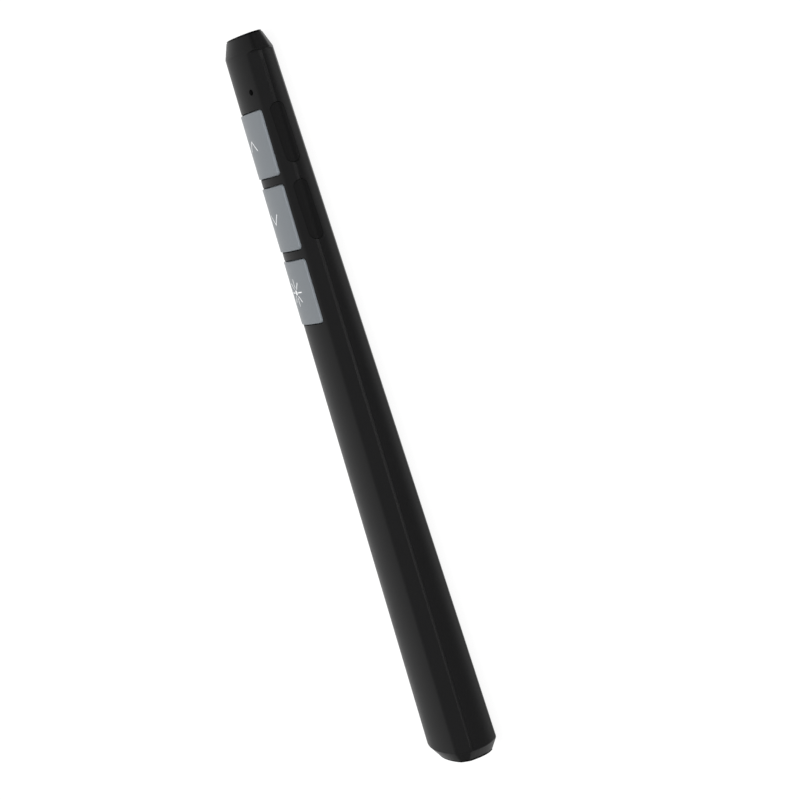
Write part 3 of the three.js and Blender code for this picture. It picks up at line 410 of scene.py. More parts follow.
def rounded_levels(low, high, radius):
    """Depths from low to high with their insets, for a form whose two ends have rounded edges"""
    angles = np.linspace(0, QUARTER, EDGE_STEPS + 1)
    start = [(low + radius * (1 - math.sin(a)), radius * (1 - math.cos(a))) for a in angles[::-1]]
    return start + [(high - (depth - low), inset) for depth, inset in start[::-1]]


def bar_outline(half_width, half_height, corner):
    """Rounded rectangle round the origin, upper half from left to right and lower half back"""
    angles = np.linspace(0, QUARTER, CORNER_STEPS + 1)
    right = [(half_width - corner + corner * math.cos(a), half_height - corner + corner * math.sin(a))
             for a in angles]
    left = [(-x, z) for x, z in right]
    upper = left + right[::-1]
    return np.array(upper + [(x, -z) for x, z in upper[::-1]])


def bar(name, axis, centre, half_width, half_height, corner, levels):
    """Bar along X, Y or Z through a centre, with its outline drawn in at each level"""
    rings = []
    for depth, inset in levels:
        outline = bar_outline(half_width - inset, half_height - inset, max(corner - inset, TINY_CORNER))
        full = np.full(len(outline), depth)
        u, v = outline[:, 0], outline[:, 1]
        columns = {"x": (full, u + centre[0], v + centre[1]), "y": (u + centre[0], full, v + centre[1]),
                   "z": (u + centre[0], v + centre[1], full)}[axis]
        rings.append(np.column_stack(columns))
    return solid(name, rings)


def rod(name, axis, centre, radius, levels, steps=ROD_STEPS):
    """Round bar, with its radius reduced by each level's inset"""
    rings = []
    for depth, inset in levels:
        angles = np.linspace(math.pi, 0, steps + 1)[:-1]
        upper = [(math.cos(a), math.sin(a)) for a in angles - math.pi / steps / 2]
        circle = np.array(upper + [(x, -z) for x, z in upper[::-1]]) * (radius - inset)
        full = np.full(len(circle), depth)
        u, v = circle[:, 0], circle[:, 1]
        columns = {"y": (u + centre[0], full, v + centre[1]), "z": (u + centre[0], v + centre[1], full)}[axis]
        rings.append(np.column_stack(columns))
    return solid(name, rings)


def crown_pad(name, half_width, nose_y, tail_y, corner, levels):
    """Pad that follows the crown. Each level is an offset from the crown and an inset of the outline."""
    rings = []
    for offset, inset in levels:
        reach = half_width - inset
        turn = max(corner - inset, corner / 2)
        angles = np.linspace(0, QUARTER, CORNER_STEPS + 1)
        right = [(reach - turn + turn * math.cos(a), turn - turn * math.sin(a)) for a in angles]
        right += [(x, 0) for x in np.linspace(reach - turn, 0, PAD_POINTS)[1:]]
        across = [(-x, cut) for x, cut in right[:-1]] + right[::-1]
        nose = [(x, nose_y - inset - cut) for x, cut in across]
        tail = [(x, tail_y + inset + cut) for x, cut in across[::-1]]
        rings.append(np.array([(x, y, crown_height(x, y) + offset) for x, y in nose + tail]))
    return solid(name, rings)


# Materials
COLOR_MIX_A, COLOR_MIX_B, COLOR_MIX_RESULT = 6, 7, 2
COAT_ROUGHNESS = 0.08
PATCH_SCALE = 140.0
# Painted highlight on key rims: the slopes of the surface normal where it starts and ends, and how much paler
# it makes the colour
RIM_STEEP, RIM_FLAT = 0.6, 0.93
RIM_HIGHLIGHT_LIFT = 1.55


def shader_node(tree, kind, **inputs):
    """New node with plain values on its inputs"""
    made = tree.nodes.new(kind)
    for key, value in inputs.items():
        made.inputs[key].default_value = value
    return made


def calculate(tree, operation, first, second):
    """Math node whose inputs are sockets or plain numbers"""
    made = tree.nodes.new("ShaderNodeMath")
    made.operation = operation
    for slot, value in enumerate((first, second)):
        if isinstance(value, (int, float)):
            made.inputs[slot].default_value = value
        else:
            tree.links.new(value, made.inputs[slot])
    return made.outputs[0]


def plastic(name, color, roughness, specular, grain=0.12, depth=0.004, unevenness=0.04, tint=0.08,
            metallic=0.0, coat=0.0):
    """Moulded or turned surface: fine grain as bump, patches of gloss, and a slight drift of colour.
    Grain and depth are in millimetres, unevenness and tint are the spread of the gloss and of the colour."""
    material = bpy.data.materials.new(name)
    material.use_nodes = True
    tree = material.node_tree
    shader = tree.nodes["Principled BSDF"]
    shader.inputs["Metallic"].default_value = metallic
    shader.inputs["Specular IOR Level"].default_value = specular
    shader.inputs["Coat Weight"].default_value = coat
    shader.inputs["Coat Roughness"].default_value = COAT_ROUGHNESS
    place = tree.nodes.new("ShaderNodeTexCoord")
    fine = shader_node(tree, "ShaderNodeTexNoise", Scale=1 / (grain * MM), Detail=2.0)
    broad = shader_node(tree, "ShaderNodeTexNoise", Scale=PATCH_SCALE, Detail=3.0)
    bump = shader_node(tree, "ShaderNodeBump", Strength=1.0, Distance=depth * MM)
    gloss = shader_node(tree, "ShaderNodeMapRange")
    gloss.inputs["To Min"].default_value = roughness - unevenness
    gloss.inputs["To Max"].default_value = roughness + unevenness
    hue = tree.nodes.new("ShaderNodeMix")
    hue.data_type = "RGBA"
    hue.inputs[COLOR_MIX_A].default_value = (*[c * (1 - tint) for c in color], 1)
    hue.inputs[COLOR_MIX_B].default_value = (*[c * (1 + tint) for c in color], 1)
    wire = tree.links.new
    for noise in (fine, broad):
        wire(place.outputs["Object"], noise.inputs["Vector"])
    wire(fine.outputs["Fac"], bump.inputs["Height"])
    wire(bump.outputs["Normal"], shader.inputs["Normal"])
    wire(broad.outputs["Fac"], gloss.inputs["Value"])
    wire(gloss.outputs["Result"], shader.inputs["Roughness"])
    wire(broad.outputs["Fac"], hue.inputs[0])
    wire(hue.outputs[COLOR_MIX_RESULT], shader.inputs["Base Color"])
    return material


def paint_rim_highlight(material):
    """Painted highlight: the base colour of a key's drafted walls and broken edges is made paler than its
    face where the surface turns steep, standing in for the light that they catch
    """
    tree = material.node_tree
    shader = tree.nodes["Principled BSDF"]
    color = shader.inputs["Base Color"].links[0].from_socket
    surface = tree.nodes.new("ShaderNodeNewGeometry")
    parts = tree.nodes.new("ShaderNodeSeparateXYZ")
    rim_highlight = tree.nodes.new("ShaderNodeMapRange")
    rim_highlight.inputs["From Min"].default_value = RIM_STEEP
    rim_highlight.inputs["From Max"].default_value = RIM_FLAT
    rim_highlight.inputs["To Min"].default_value = RIM_HIGHLIGHT_LIFT
    rim_highlight.inputs["To Max"].default_value = 1.0
    scaled = tree.nodes.new("ShaderNodeVectorMath")
    scaled.operation = "SCALE"
    wire = tree.links.new
    wire(surface.outputs["Normal"], parts.inputs["Vector"])
    wire(parts.outputs["Z"], rim_highlight.inputs["Value"])
    wire(color, scaled.inputs[0])
    wire(rim_highlight.outputs["Result"], scaled.inputs["Scale"])
    wire(scaled.outputs["Vector"], shader.inputs["Base Color"])


black = plastic("satin black plastic", (0.008, 0.008, 0.0083), 0.36, 0.07)
side_black = plastic("side key black plastic", (0.004, 0.004, 0.0042), 0.5, 0.08)
gloss_black = plastic("gloss black trim", (0.002, 0.002, 0.002), 0.3, 0.03, depth=0.0008)
grey = plastic("grey key plastic", (0.163, 0.181, 0.198), 0.36, 0.4, grain=0.09, depth=0.003, tint=0.02)
# Painted highlight on the walls and broken edges of the keys
paint_rim_highlight(grey)
ink = plastic("white print", (0.95, 0.96, 0.97), 0.5, 0.3, depth=0.001, tint=0.01)
dark = plastic("dark plastic", (0.014, 0.014, 0.015), 0.55, 0.3, depth=0.006)
smoked = plastic("smoked light pipe", (0.001, 0.001, 0.001), 0.4, 0.02, depth=0.0005)
board = plastic("green solder mask", (0.008, 0.075, 0.035), 0.3, 0.5, grain=0.4, depth=0.004, tint=0.2)
steel = plastic("plated steel", (0.55, 0.56, 0.58), 0.28, 0.5, metallic=1.0, depth=0.0015)
brass = plastic("turned brass", (0.62, 0.42, 0.16), 0.3, 0.5, metallic=1.0, depth=0.002)
foil = plastic("cell foil", (0.5, 0.52, 0.55), 0.36, 0.5, metallic=1.0, grain=1.4, depth=0.03)
foam = plastic("grey foam", (0.06, 0.06, 0.065), 0.9, 0.2, grain=0.3, depth=0.06, tint=0.3)
pale = plastic("pale clear plastic", (0.6, 0.64, 0.66), 0.2, 0.5, depth=0.001)
glass = plastic("coated lens", (0.05, 0.012, 0.02), 0.05, 0.8, depth=0.0002, coat=0.6)

# Inner CAD pieces that keep their shape and get a finish
CARRIED = {
    dark: [
        "radio_chip", "charger_chip", "charging_tongue", "receiver_insert", "receiver_dock", "power_lever",
    ],
    steel: ["crystal_can", "power_switch", "board_screw_1", "board_screw_2"],
    board: ["main_board", "laser_board"],
    pale: ["antenna_chip", "indicator_lamp"],
    brass: ["laser_barrel", "laser_diode"],
    glass: ["laser_lens"],
    foil: ["battery_cell"],
    foam: ["battery_pad"],
}
for name in nodes:
    if name.startswith(("plunger_", "side_plunger_")):
        CARRIED[dark].append(name)
    if name.startswith(("switch_", "side_switch_")):
        CARRIED[steel].append(name)
for material, names in CARRIED.items():
    for name in names:
        nodes[name].data.materials.clear()
        nodes[name].data.materials.append(material)

# Front keys: their caps, the wells that they sit in, and the printed signs on them
KEY_NAMES = ["page_up", "page_down", "laser"]
KEY_CORNER = 0.7
KEY_PROUD = 0.26
KEY_THICKNESS = 0.9
KEY_ROUND = 0.05
KEY_DRAFT = 0.09
KEY_DRAWN_IN = 0.6
KEY_REACH = 0.2
KEY_GAP = 0.14
NECK_INSET = 2.78
FLANGE_LENGTH = 0.7
FLANGE_THICKNESS = 0.6
FLANGE_GAP = 0.25
STEM_RADIUS = 1.3

# How far a cutting form reaches past what it cuts
CUT = 0.5


def key_place(name):
    """Half width of a cap, and where it starts and ends"""
    low, high = box_mm(f"key_{name}")
    end = FLANGE_LENGTH - KEY_REACH
    return high.x - KEY_DRAWN_IN, high.y - end, low.y + end


def key_wells():
    wells = []
    for name in KEY_NAMES:
        half, nose_y, tail_y = key_place(name)
        rim = [(-EDGE_BREAK * (1 - math.sin(a)), -EDGE_BREAK * (1 - math.cos(a)))
               for a in np.linspace(0, QUARTER, EDGE_STEPS + 1)]
        levels = [(-2 * WALL, 0)] + rim + [(CUT, -EDGE_BREAK)]
        ends = (nose_y + KEY_GAP, tail_y - KEY_GAP)
        wells.append(crown_pad("well", half + KEY_GAP, *ends, KEY_CORNER + KEY_GAP, levels))
    return wells


def front_key(name):
    half, nose_y, tail_y = key_place(name)
    edge = [(KEY_PROUD - KEY_ROUND * (1 - math.sin(a)), KEY_DRAFT + KEY_ROUND * (1 - math.cos(a)))
            for a in np.linspace(0, QUARTER, EDGE_STEPS + 1)]
    levels = [(KEY_PROUD - KEY_THICKNESS, 0), (0, 0)] + edge
    cap = crown_pad(f"{name}_key_cap", half, nose_y, tail_y, KEY_CORNER, levels)
    low, high = box_mm(f"key_{name}")
    neck_half = high.x - NECK_INSET
    under = -WALL - FLANGE_GAP
    neck = crown_pad("neck", neck_half, nose_y - KEY_REACH, tail_y + KEY_REACH, KEY_CORNER,
                     [(under - FLANGE_THICKNESS / 2, 0), (KEY_PROUD - KEY_THICKNESS / 2, 0)])
    flange_levels = [(under - FLANGE_THICKNESS, 0), (under, 0)]
    flange = crown_pad("flange", neck_half, high.y, low.y, KEY_CORNER, flange_levels)
    middle = (nose_y + tail_y) / 2
    stem = rod("stem", "z", (0, middle), STEM_RADIUS, [(low.z, 0), (crown_height(0, middle) - WALL, 0)])
    combine(cap, [neck, flange, stem], "UNION")
    return finished(cap, f"key_{name}_body", [f"key_{name}"], grey)


SIGN_STROKE = 0.24
SIGN_RELIEF = 0.02
SIGN_SINK = 0.02
SIGN_LOW, SIGN_HIGH = KEY_PROUD - SIGN_SINK, KEY_PROUD + SIGN_RELIEF
SIGN_SHIFT = 0.15
CHEVRON_HALF = 2.0
CHEVRON_HEIGHT = 2.0
RAY_COUNT = 8
RAY_INNER = 0.95
RAY_OUTER = 2.79
DOT_RADIUS = 0.55
CHEVRON_POINTS = 9
RAY_POINTS = 7
DOT_POINTS = 10


def stroke(points, width):
    """Thin printed stroke along points of the crown, as one closed strip"""
    centre = np.array(points, float)
    ahead = np.gradient(centre, axis=0)
    ahead /= np.linalg.norm(ahead, axis=1)[:, None]
    across = np.column_stack([-ahead[:, 1], ahead[:, 0]]) * width / 2
    rings = []
    for place, side in zip(centre, across):
        ends = [place + side, place - side]
        corners = [(ends[0], SIGN_LOW), (ends[0], SIGN_HIGH), (ends[1], SIGN_HIGH), (ends[1], SIGN_LOW)]
        rings.append(np.array([(p[0], p[1], crown_height(*p) + offset) for p, offset in corners]))
    return solid("stroke", rings)


def joined(name, parts):
    cage = bmesh.new()
    for part in parts:
        cage.from_mesh(part.data)
        bpy.data.objects.remove(part)
    mesh = bpy.data.meshes.new(name)
    cage.to_mesh(mesh)
    cage.free()
    return link(name, mesh)


def chevron(middle, towards):
    """One bent stroke with its tip towards the nose or the tail"""
    tip = np.array([0.0, middle + towards * CHEVRON_HEIGHT / 2])
    ends = [np.array([side * CHEVRON_HALF, middle - towards * CHEVRON_HEIGHT / 2]) for side in (-1, 1)]
    shares = np.linspace(0, 1, CHEVRON_POINTS)
    path = [mix(ends[0], tip, t) for t in shares] + [mix(tip, ends[1], t) for t in shares[1:]]
    return [stroke(path, SIGN_STROKE)]


def starburst(middle):
    """Dot with rays round it"""
    parts = []
    for i in range(RAY_COUNT):
        angle = 2 * math.pi * i / RAY_COUNT
        along = np.array([math.cos(angle), math.sin(angle)])
        path = [np.array([0, middle]) + along * r for r in np.linspace(RAY_INNER, RAY_OUTER, RAY_POINTS)]
        parts.append(stroke(path, SIGN_STROKE))
    turn = np.linspace(0, math.pi, DOT_POINTS)
    upper = [(-math.cos(a) * DOT_RADIUS, math.sin(a) * DOT_RADIUS) for a in turn]
    outline = upper + [(x, -y) for x, y in upper[::-1]]
    outline = [(x, y + middle) for x, y in outline]
    rings = [np.array([(x, y, crown_height(x, y) + offset) for x, y in outline])
             for offset in (SIGN_LOW, SIGN_HIGH)]
    parts.append(solid("dot", rings))
    return parts


def key_sign(name):
    nose_y, tail_y = key_place(name)[1:]
    middle = (nose_y + tail_y) / 2 + SIGN_SHIFT
    if name == "laser":
        parts = starburst(middle)
    else:
        parts = chevron(middle, 1 if name == "page_up" else -1)
    return finished(joined(f"{name}_sign", parts), f"key_{name}_body", [], ink)


for name in KEY_NAMES:
    front_key(name)
    key_sign(name)

# Side keys: stadiums that follow the ridge
SIDE_KEY_NAMES = ["front", "rear"]
SIDE_KEY_LENGTH = 11.9
SIDE_KEY_ABOVE, SIDE_KEY_BELOW = 1.0, 1.6
SIDE_KEY_SINK = 0.03
SIDE_KEY_GAP = 0.04
SIDE_KEY_END_GAP = 0.09
SIDE_KEY_EDGE = 0.06
SIDE_KEY_EDGE_STEPS = 3
SIDE_KEY_EDGE_ANGLE = math.radians(40)
SIDE_TAB_THICKNESS = 0.5
SIDE_TAB_HEIGHT = 0.4


def side_place(name):
    low, high = box_mm(f"side_key_{name}")
    middle = (low.y + high.y) / 2
    bottom = ridge_at(middle) - SIDE_KEY_BELOW
    top = ridge_at(middle) + SIDE_KEY_ABOVE
    return low.x, middle, (bottom + top) / 2, (top - bottom) / 2


def side_wells():
    wells = []
    for name in SIDE_KEY_NAMES:
        inner_x, y, z, half_height = side_place(name)
        reach = half_height + SIDE_KEY_GAP
        levels = [(inner_x - CUT, 0), (half_at(y) + CUT, 0)]
        wells.append(bar("well", "x", (y, z), SIDE_KEY_LENGTH / 2 + SIDE_KEY_END_GAP, reach, reach, levels))
    return wells


def body_form(name, inset):
    """Whole outer form of the shells, scaled down by about a distance on every side"""

    def section(y, size):
        middle = np.array([0, size.datum])
        scale = np.array([1 - inset / size.half, 1 - inset / size.front])
        shrunk = (right_half(half_outline(size)) - middle) * scale + middle
        return whole_outline(shrunk, len(shrunk) // 2)

    return solid(name, body_rings(section))


def side_key(name):
    inner_x, y, z, half_height = side_place(name)
    levels = [(inner_x, 0), (half_at(y) + CUT, 0)]
    key = bar(f"{name}_side_key", "x", (y, z), SIDE_KEY_LENGTH / 2, half_height, half_height, levels)
    combine(key, [body_form("form", SIDE_KEY_SINK)], "INTERSECT")
    low, high = box_mm(f"side_key_{name}")
    tab_y = high.y
    plane = (ridge_at(tab_y) + mix(NOSE.lower_ridge(), TAIL.lower_ridge(), body_share(tab_y))) / 2
    tab_levels = [(inner_x, 0), (inner_x + SIDE_TAB_THICKNESS, 0)]
    tab_half = (high.y - low.y) / 2
    tab = bar("tab", "x", (y, plane), tab_half, SIDE_TAB_HEIGHT / 2, SIDE_TAB_HEIGHT / 4, tab_levels)
    combine(key, [tab], "UNION")
    edge = key.modifiers.new("edge", "BEVEL")
    edge.width, edge.segments = SIDE_KEY_EDGE * MM, SIDE_KEY_EDGE_STEPS
    edge.limit_method, edge.angle_limit = "ANGLE", SIDE_KEY_EDGE_ANGLE
    return finished(key, f"side_key_{name}_body", [f"side_key_{name}"], side_black)


for name in SIDE_KEY_NAMES:
    side_key(name)

# Left side: charging port and power slider
port_low, port_high = box_mm("charging_port")
PORT_Y, PORT_Z = (port_low.y + port_high.y) / 2, (port_low.z + port_high.z) / 2
PORT_HALF, PORT_HALF_HEIGHT = (port_high.y - port_low.y) / 2, (port_high.z - port_low.z) / 2
PORT_GAP = 0.3
PORT_WALL = 0.3
PORT_ROOT = 1.0
PORT_EDGE = 0.08
slider_low, slider_high = box_mm("power_slider")
SLIDER_LENGTH, SLIDER_HEIGHT = 5.0, 1.5
SLIDER_TRAVEL = 2.0
SLIDER_GAP = 0.2
SLIDER_FLANGE = 0.5
SLIDER_FLANGE_HALF = 0.55
SLIDER_GROOVES = 4
GROOVE_WIDTH, GROOVE_DEPTH = 0.4, 0.25
SLIDER_Y, SLIDER_Z = (slider_low.y + slider_high.y) / 2, (slider_low.z + slider_high.z) / 2
LEFT_REACH = -half_at(SLIDER_Y) - CUT


def left_openings():
    half_height = SLIDER_HEIGHT / 2 + SLIDER_GAP
    slot_half = (SLIDER_LENGTH + SLIDER_TRAVEL) / 2 + SLIDER_GAP
    slot_levels = [(LEFT_REACH, 0), (slider_high.x, 0)]
    slot_centre = (SLIDER_Y + SLIDER_TRAVEL / 2, SLIDER_Z)
    slot = bar("slot", "x", slot_centre, slot_half, half_height, half_height, slot_levels)
    mouth_half = PORT_HALF_HEIGHT + PORT_GAP
    mouth_levels = [(LEFT_REACH, 0), (port_low.x + WALL, 0)]
    mouth = bar("mouth", "x", (PORT_Y, PORT_Z), PORT_HALF + PORT_GAP, mouth_half, mouth_half, mouth_levels)
    return [slot, mouth]


def power_slider():
    half_height = SLIDER_HEIGHT / 2
    centre = (SLIDER_Y, SLIDER_Z)
    levels = rounded_levels(slider_low.x, slider_high.x, EDGE_BREAK)[: EDGE_STEPS + 1] + [(slider_high.x, 0)]
    slider = bar("power_slider_thumb", "x", centre, SLIDER_LENGTH / 2, half_height, half_height, levels)
    flange_half = (slider_high.y - slider_low.y) / 2
    flange_levels = [(slider_high.x - SLIDER_FLANGE, 0), (slider_high.x, 0)]
    flange = bar("flange", "x", centre, flange_half, SLIDER_FLANGE_HALF, TINY_CORNER, flange_levels)
    combine(slider, [flange], "UNION")
    spread = SLIDER_LENGTH - SLIDER_HEIGHT
    grooves = []
    for i in range(SLIDER_GROOVES):
        y = SLIDER_Y + spread * ((i + 0.5) / SLIDER_GROOVES - 0.5)
        groove_levels = [(slider_low.x - CUT, -CUT), (slider_low.x + GROOVE_DEPTH, 0)]
        place = (y, SLIDER_Z)
        groove = bar("groove", "x", place, GROOVE_WIDTH / 2, SLIDER_HEIGHT, TINY_CORNER, groove_levels)
        grooves.append(groove)
    combine(slider, grooves, "DIFFERENCE")
    return finished(slider, "power_slider_body", ["power_slider"], dark)


def charging_port():
    levels = [(port_low.x, PORT_EDGE), (port_low.x + PORT_EDGE, 0), (port_high.x, 0)]
    cup = bar("port_shell", "x", (PORT_Y, PORT_Z), PORT_HALF, PORT_HALF_HEIGHT, PORT_HALF_HEIGHT, levels)
    bore_levels = [(port_low.x - CUT, 0), (port_high.x - PORT_ROOT, 0)]
    bore = bar("bore", "x", (PORT_Y, PORT_Z), PORT_HALF - PORT_WALL, PORT_HALF_HEIGHT - PORT_WALL,
               PORT_HALF_HEIGHT - PORT_WALL, bore_levels)
    combine(cup, [bore], "DIFFERENCE")
    return finished(cup, "housing", ["charging_port"], steel)


power_slider()
charging_port()

# Housing screws with a cross recess, seen in the back
SCREW_HEAD_HEIGHT = 0.8
SCREW_SHANK_RADIUS = 0.8
COUNTERBORE_GAP = 0.15
COUNTERBORE_DEPTH = 1.1
RECESS_LENGTH, RECESS_WIDTH, RECESS_DEPTH = 2.0, 0.45, 0.5
RECESS_CORNER = 0.1
SCREW_EDGE = 0.2
WASHER_EXTRA = 0.7
SHANK_HOLE_EXTRA = 1
SCREWS = ["housing_screw_1", "housing_screw_2"]


def housing_screw(name):
    low, high = box_mm(name)
    y = (low.y + high.y) / 2
    head_top = low.z + SCREW_HEAD_HEIGHT
    head_levels = rounded_levels(low.z, head_top, SCREW_EDGE)[: EDGE_STEPS + 2] + [(head_top, 0)]
    screw = rod(f"{name}_turned", "z", (0, y), high.x, head_levels, steps=ROUND_ROD_STEPS)
    shank = rod("shank", "z", (0, y), SCREW_SHANK_RADIUS, [(low.z + SCREW_HEAD_HEIGHT / 2, 0), (high.z, 0)])
    combine(screw, [shank], "UNION")
    arms = []
    for length, width in ((RECESS_LENGTH, RECESS_WIDTH), (RECESS_WIDTH, RECESS_LENGTH)):
        arm_levels = [(low.z - CUT, 0), (low.z + RECESS_DEPTH, 0)]
        arms.append(bar("arm", "z", (0, y), length / 2, width / 2, RECESS_CORNER, arm_levels))
    combine(screw, arms, "DIFFERENCE")
    return finished(screw, "housing", [name], steel)


for name in SCREWS:
    housing_screw(name)

# Shells
LAMP_HOLE = 0.6
pipe_low, pipe_high = box_mm("light_pipe")
pipe_centre = ((pipe_low.x + pipe_high.x) / 2, (pipe_low.y + pipe_high.y) / 2)


def front_cover():
    def section(y, size):
        return shell_ring(size, ridge_at(y) - PARTING_BELOW_RIDGE + PARTING_GAP / 2, True)

    cover = solid("front_cover_moulding", body_rings(section))
    hole = rod("hole", "z", pipe_centre, LAMP_HOLE, [(pipe_high.z - 3 * WALL, 0), (pipe_high.z + CUT, 0)])
    combine(cover, key_wells() + side_wells() + [hole], "DIFFERENCE")
    return finished(cover, "housing", ["front_cover"], black)


def back_shell():
    def section(y, size):
        return shell_ring(size, ridge_at(y) - PARTING_BELOW_RIDGE - PARTING_GAP / 2, False)

    shell = solid("back_shell_moulding", body_rings(section))
    counterbores = []
    washers = []
    for name in SCREWS:
        low, high = box_mm(name)
        centre = (0, (low.y + high.y) / 2)
        washer_levels = [(WALL / 2, 0), (COUNTERBORE_DEPTH + WASHER_EXTRA, 0)]
        bore = high.x + COUNTERBORE_GAP
        washers.append(rod("washer", "z", centre, bore + WALL / 2, washer_levels, steps=ROUND_ROD_STEPS))
        bore_levels = [(-CUT, 0), (COUNTERBORE_DEPTH, 0)]
        counterbores.append(rod("bore", "z", centre, bore, bore_levels, steps=ROUND_ROD_STEPS))
        shank = SCREW_SHANK_RADIUS + COUNTERBORE_GAP
        shank_levels = [(-CUT, 0), (COUNTERBORE_DEPTH + CUT + SHANK_HOLE_EXTRA, 0)]
        counterbores.append(rod("bore", "z", centre, shank, shank_levels))
    combine(shell, washers, "UNION")
    combine(shell, side_wells() + left_openings() + counterbores, "DIFFERENCE")
    return finished(shell, "housing", ["back_shell"], black)


front_cover()
back_shell()


# End plates
def plate_section(size):
    halves = half_outline(size)
    return whole_outline(right_half(halves), len(halves["upper"]) - 1 + SIDE_STEPS // 2)


def end_plate(name, size, outer_y, direction):
    """Thin trim with a softly broken outer edge"""
    levels = [(outer_y - direction * PLATE_EDGE * (1 - math.cos(a)), PLATE_EDGE * (1 - math.sin(a)))
              for a in np.linspace(0, QUARTER, EDGE_STEPS + 1)]
    levels.append((outer_y - direction * PLATE_THICKNESS, 0))
    rings = []
    for y, inset in levels:
        outline = plate_section(size.inset(PLATE_INSET + inset))
        rings.append(np.column_stack([outline[:, 0], np.full(len(outline), y), outline[:, 1]]))
    return solid(name, rings)


APERTURE_RADIUS = 1.1
APERTURE_EDGE = 0.12
APERTURE_DEPTH = 3
APERTURE_STEPS = 20
HEAD_GAP = 0.2
HEAD_CORNER = 0.9
barrel_low, barrel_high = box_mm("laser_barrel")
LASER_Z = (barrel_low.z + barrel_high.z) / 2
head_low, head_high = box_mm("receiver_head")
HEAD_Z = (head_low.z + head_high.z) / 2
HEAD_HALF, HEAD_HALF_HEIGHT = head_high.x, (head_high.z - head_low.z) / 2

nose_plate = end_plate("nose_trim", size_at(NOSE_SHELL_Y).tapered(NOSE_TAPER), TIP_Y, 1)
aperture_levels = [
    (NOSE_SHELL_Y - APERTURE_DEPTH, 0), (TIP_Y - APERTURE_EDGE, 0), (TIP_Y + CUT, -CUT - APERTURE_EDGE),
]
aperture = rod("aperture", "y", (0, LASER_Z), APERTURE_RADIUS, aperture_levels, steps=APERTURE_STEPS)
combine(nose_plate, [aperture], "DIFFERENCE")
finished(nose_plate, "housing", ["nose_plate"], gloss_black)

tail_plate = end_plate("tail_trim", size_at(TAIL_SHELL_Y).tapered(TAIL_TAPER), -TIP_Y, -1)
mouth_levels = [(-TIP_Y - CUT, 0), (-TIP_Y + 2 * CUT, 0)]
mouth = bar("mouth", "y", (0, HEAD_Z), HEAD_HALF + HEAD_GAP, HEAD_HALF_HEIGHT + HEAD_GAP,
            HEAD_CORNER + HEAD_GAP, mouth_levels)
combine(tail_plate, [mouth], "DIFFERENCE")
finished(tail_plate, "housing", ["tail_plate"], gloss_black)

# Light pipe, with a slightly domed top
PIPE_RADIUS = 0.5
PIPE_COLLAR_THICKNESS = 0.5
PIPE_RECESS = 0.3
PIPE_DOME = 0.12
DOME_RIM_ANGLE = 0.3
pipe_top = pipe_high.z - PIPE_RECESS
dome = [(pipe_top - PIPE_DOME * math.sin(a), PIPE_RADIUS * (1 - math.sin(a)))
        for a in np.linspace(QUARTER, DOME_RIM_ANGLE, EDGE_STEPS + 1)]
pipe = rod("smoked_light_pipe", "z", pipe_centre, PIPE_RADIUS, [(pipe_low.z, 0)] + dome)
collar_top = pipe_high.z + SEAT_GAP - WALL - PIPE_COLLAR_THICKNESS
collar_levels = [(collar_top - PIPE_COLLAR_THICKNESS, 0), (collar_top, 0)]
combine(pipe, [rod("collar", "z", pipe_centre, (pipe_high.x - pipe_low.x) / 2, collar_levels)], "UNION")
finished(pipe, "housing", ["light_pipe"], smoked)

# Receiver: grip head with its nail groove, and the plug shell with its windows
NAIL_RADIUS, NAIL_LENGTH = 0.9, 7.0
HEAD_EDGE, NAIL_EDGE, PLUG_EDGE = 0.25, 0.5, 0.12
plug_low, plug_high = box_mm("receiver_plug")
PLUG_Z = (plug_low.z + plug_high.z) / 2
PLUG_HALF, PLUG_HALF_HEIGHT = plug_high.x, (plug_high.z - plug_low.z) / 2
PLUG_WALL = 0.35
WINDOW, WINDOW_OFFSET, WINDOW_FROM_TIP = 2.0, 2.6, 5.0
WINDOW_CORNER = 0.1

head_levels = rounded_levels(head_low.y, head_high.y, HEAD_EDGE)
head = bar("receiver_grip", "y", (0, HEAD_Z), HEAD_HALF, HEAD_HALF_HEIGHT, HEAD_CORNER, head_levels)
nail_levels = rounded_levels(-NAIL_LENGTH / 2, NAIL_LENGTH / 2, NAIL_EDGE)
nail = bar("nail", "x", (head_low.y, HEAD_Z), NAIL_RADIUS, NAIL_RADIUS, NAIL_RADIUS, nail_levels)
combine(head, [nail], "DIFFERENCE")
finished(head, "receiver", ["receiver_head"], black)

plug_levels = rounded_levels(plug_low.y, plug_high.y, PLUG_EDGE)
plug = bar("receiver_shell", "y", (0, PLUG_Z), PLUG_HALF, PLUG_HALF_HEIGHT, PLUG_WALL + SEAT_GAP, plug_levels)
bore = bar("bore", "y", (0, PLUG_Z), PLUG_HALF - PLUG_WALL, PLUG_HALF_HEIGHT - PLUG_WALL, SEAT_GAP,
           [(plug_low.y - CUT, 0), (plug_high.y + CUT, 0)])
windows = []
for side in (-1, 1):
    window_y = plug_high.y - WINDOW_FROM_TIP
    levels = [(PLUG_Z, 0), (plug_high.z + CUT, 0)]
    place = (side * WINDOW_OFFSET, window_y)
    windows.append(bar("window", "z", place, WINDOW / 2, WINDOW / 2, WINDOW_CORNER, levels))
combine(plug, [bore] + windows, "DIFFERENCE")
finished(plug, "receiver", ["receiver_plug"], steel)

# Camera where the photo was taken from, floor and light
CAMERA_PLACE = Vector((413.96, 52.47, 128.57)) * MM
CAMERA_FORWARD = Vector((-0.94484, -0.12638, -0.30219))
CAMERA_UP = Vector((-0.02181, 0.94474, -0.32711))
LENS = 98.16
SENSOR_WIDTH = 36
CLIP_START, CLIP_END = 0.01, 50


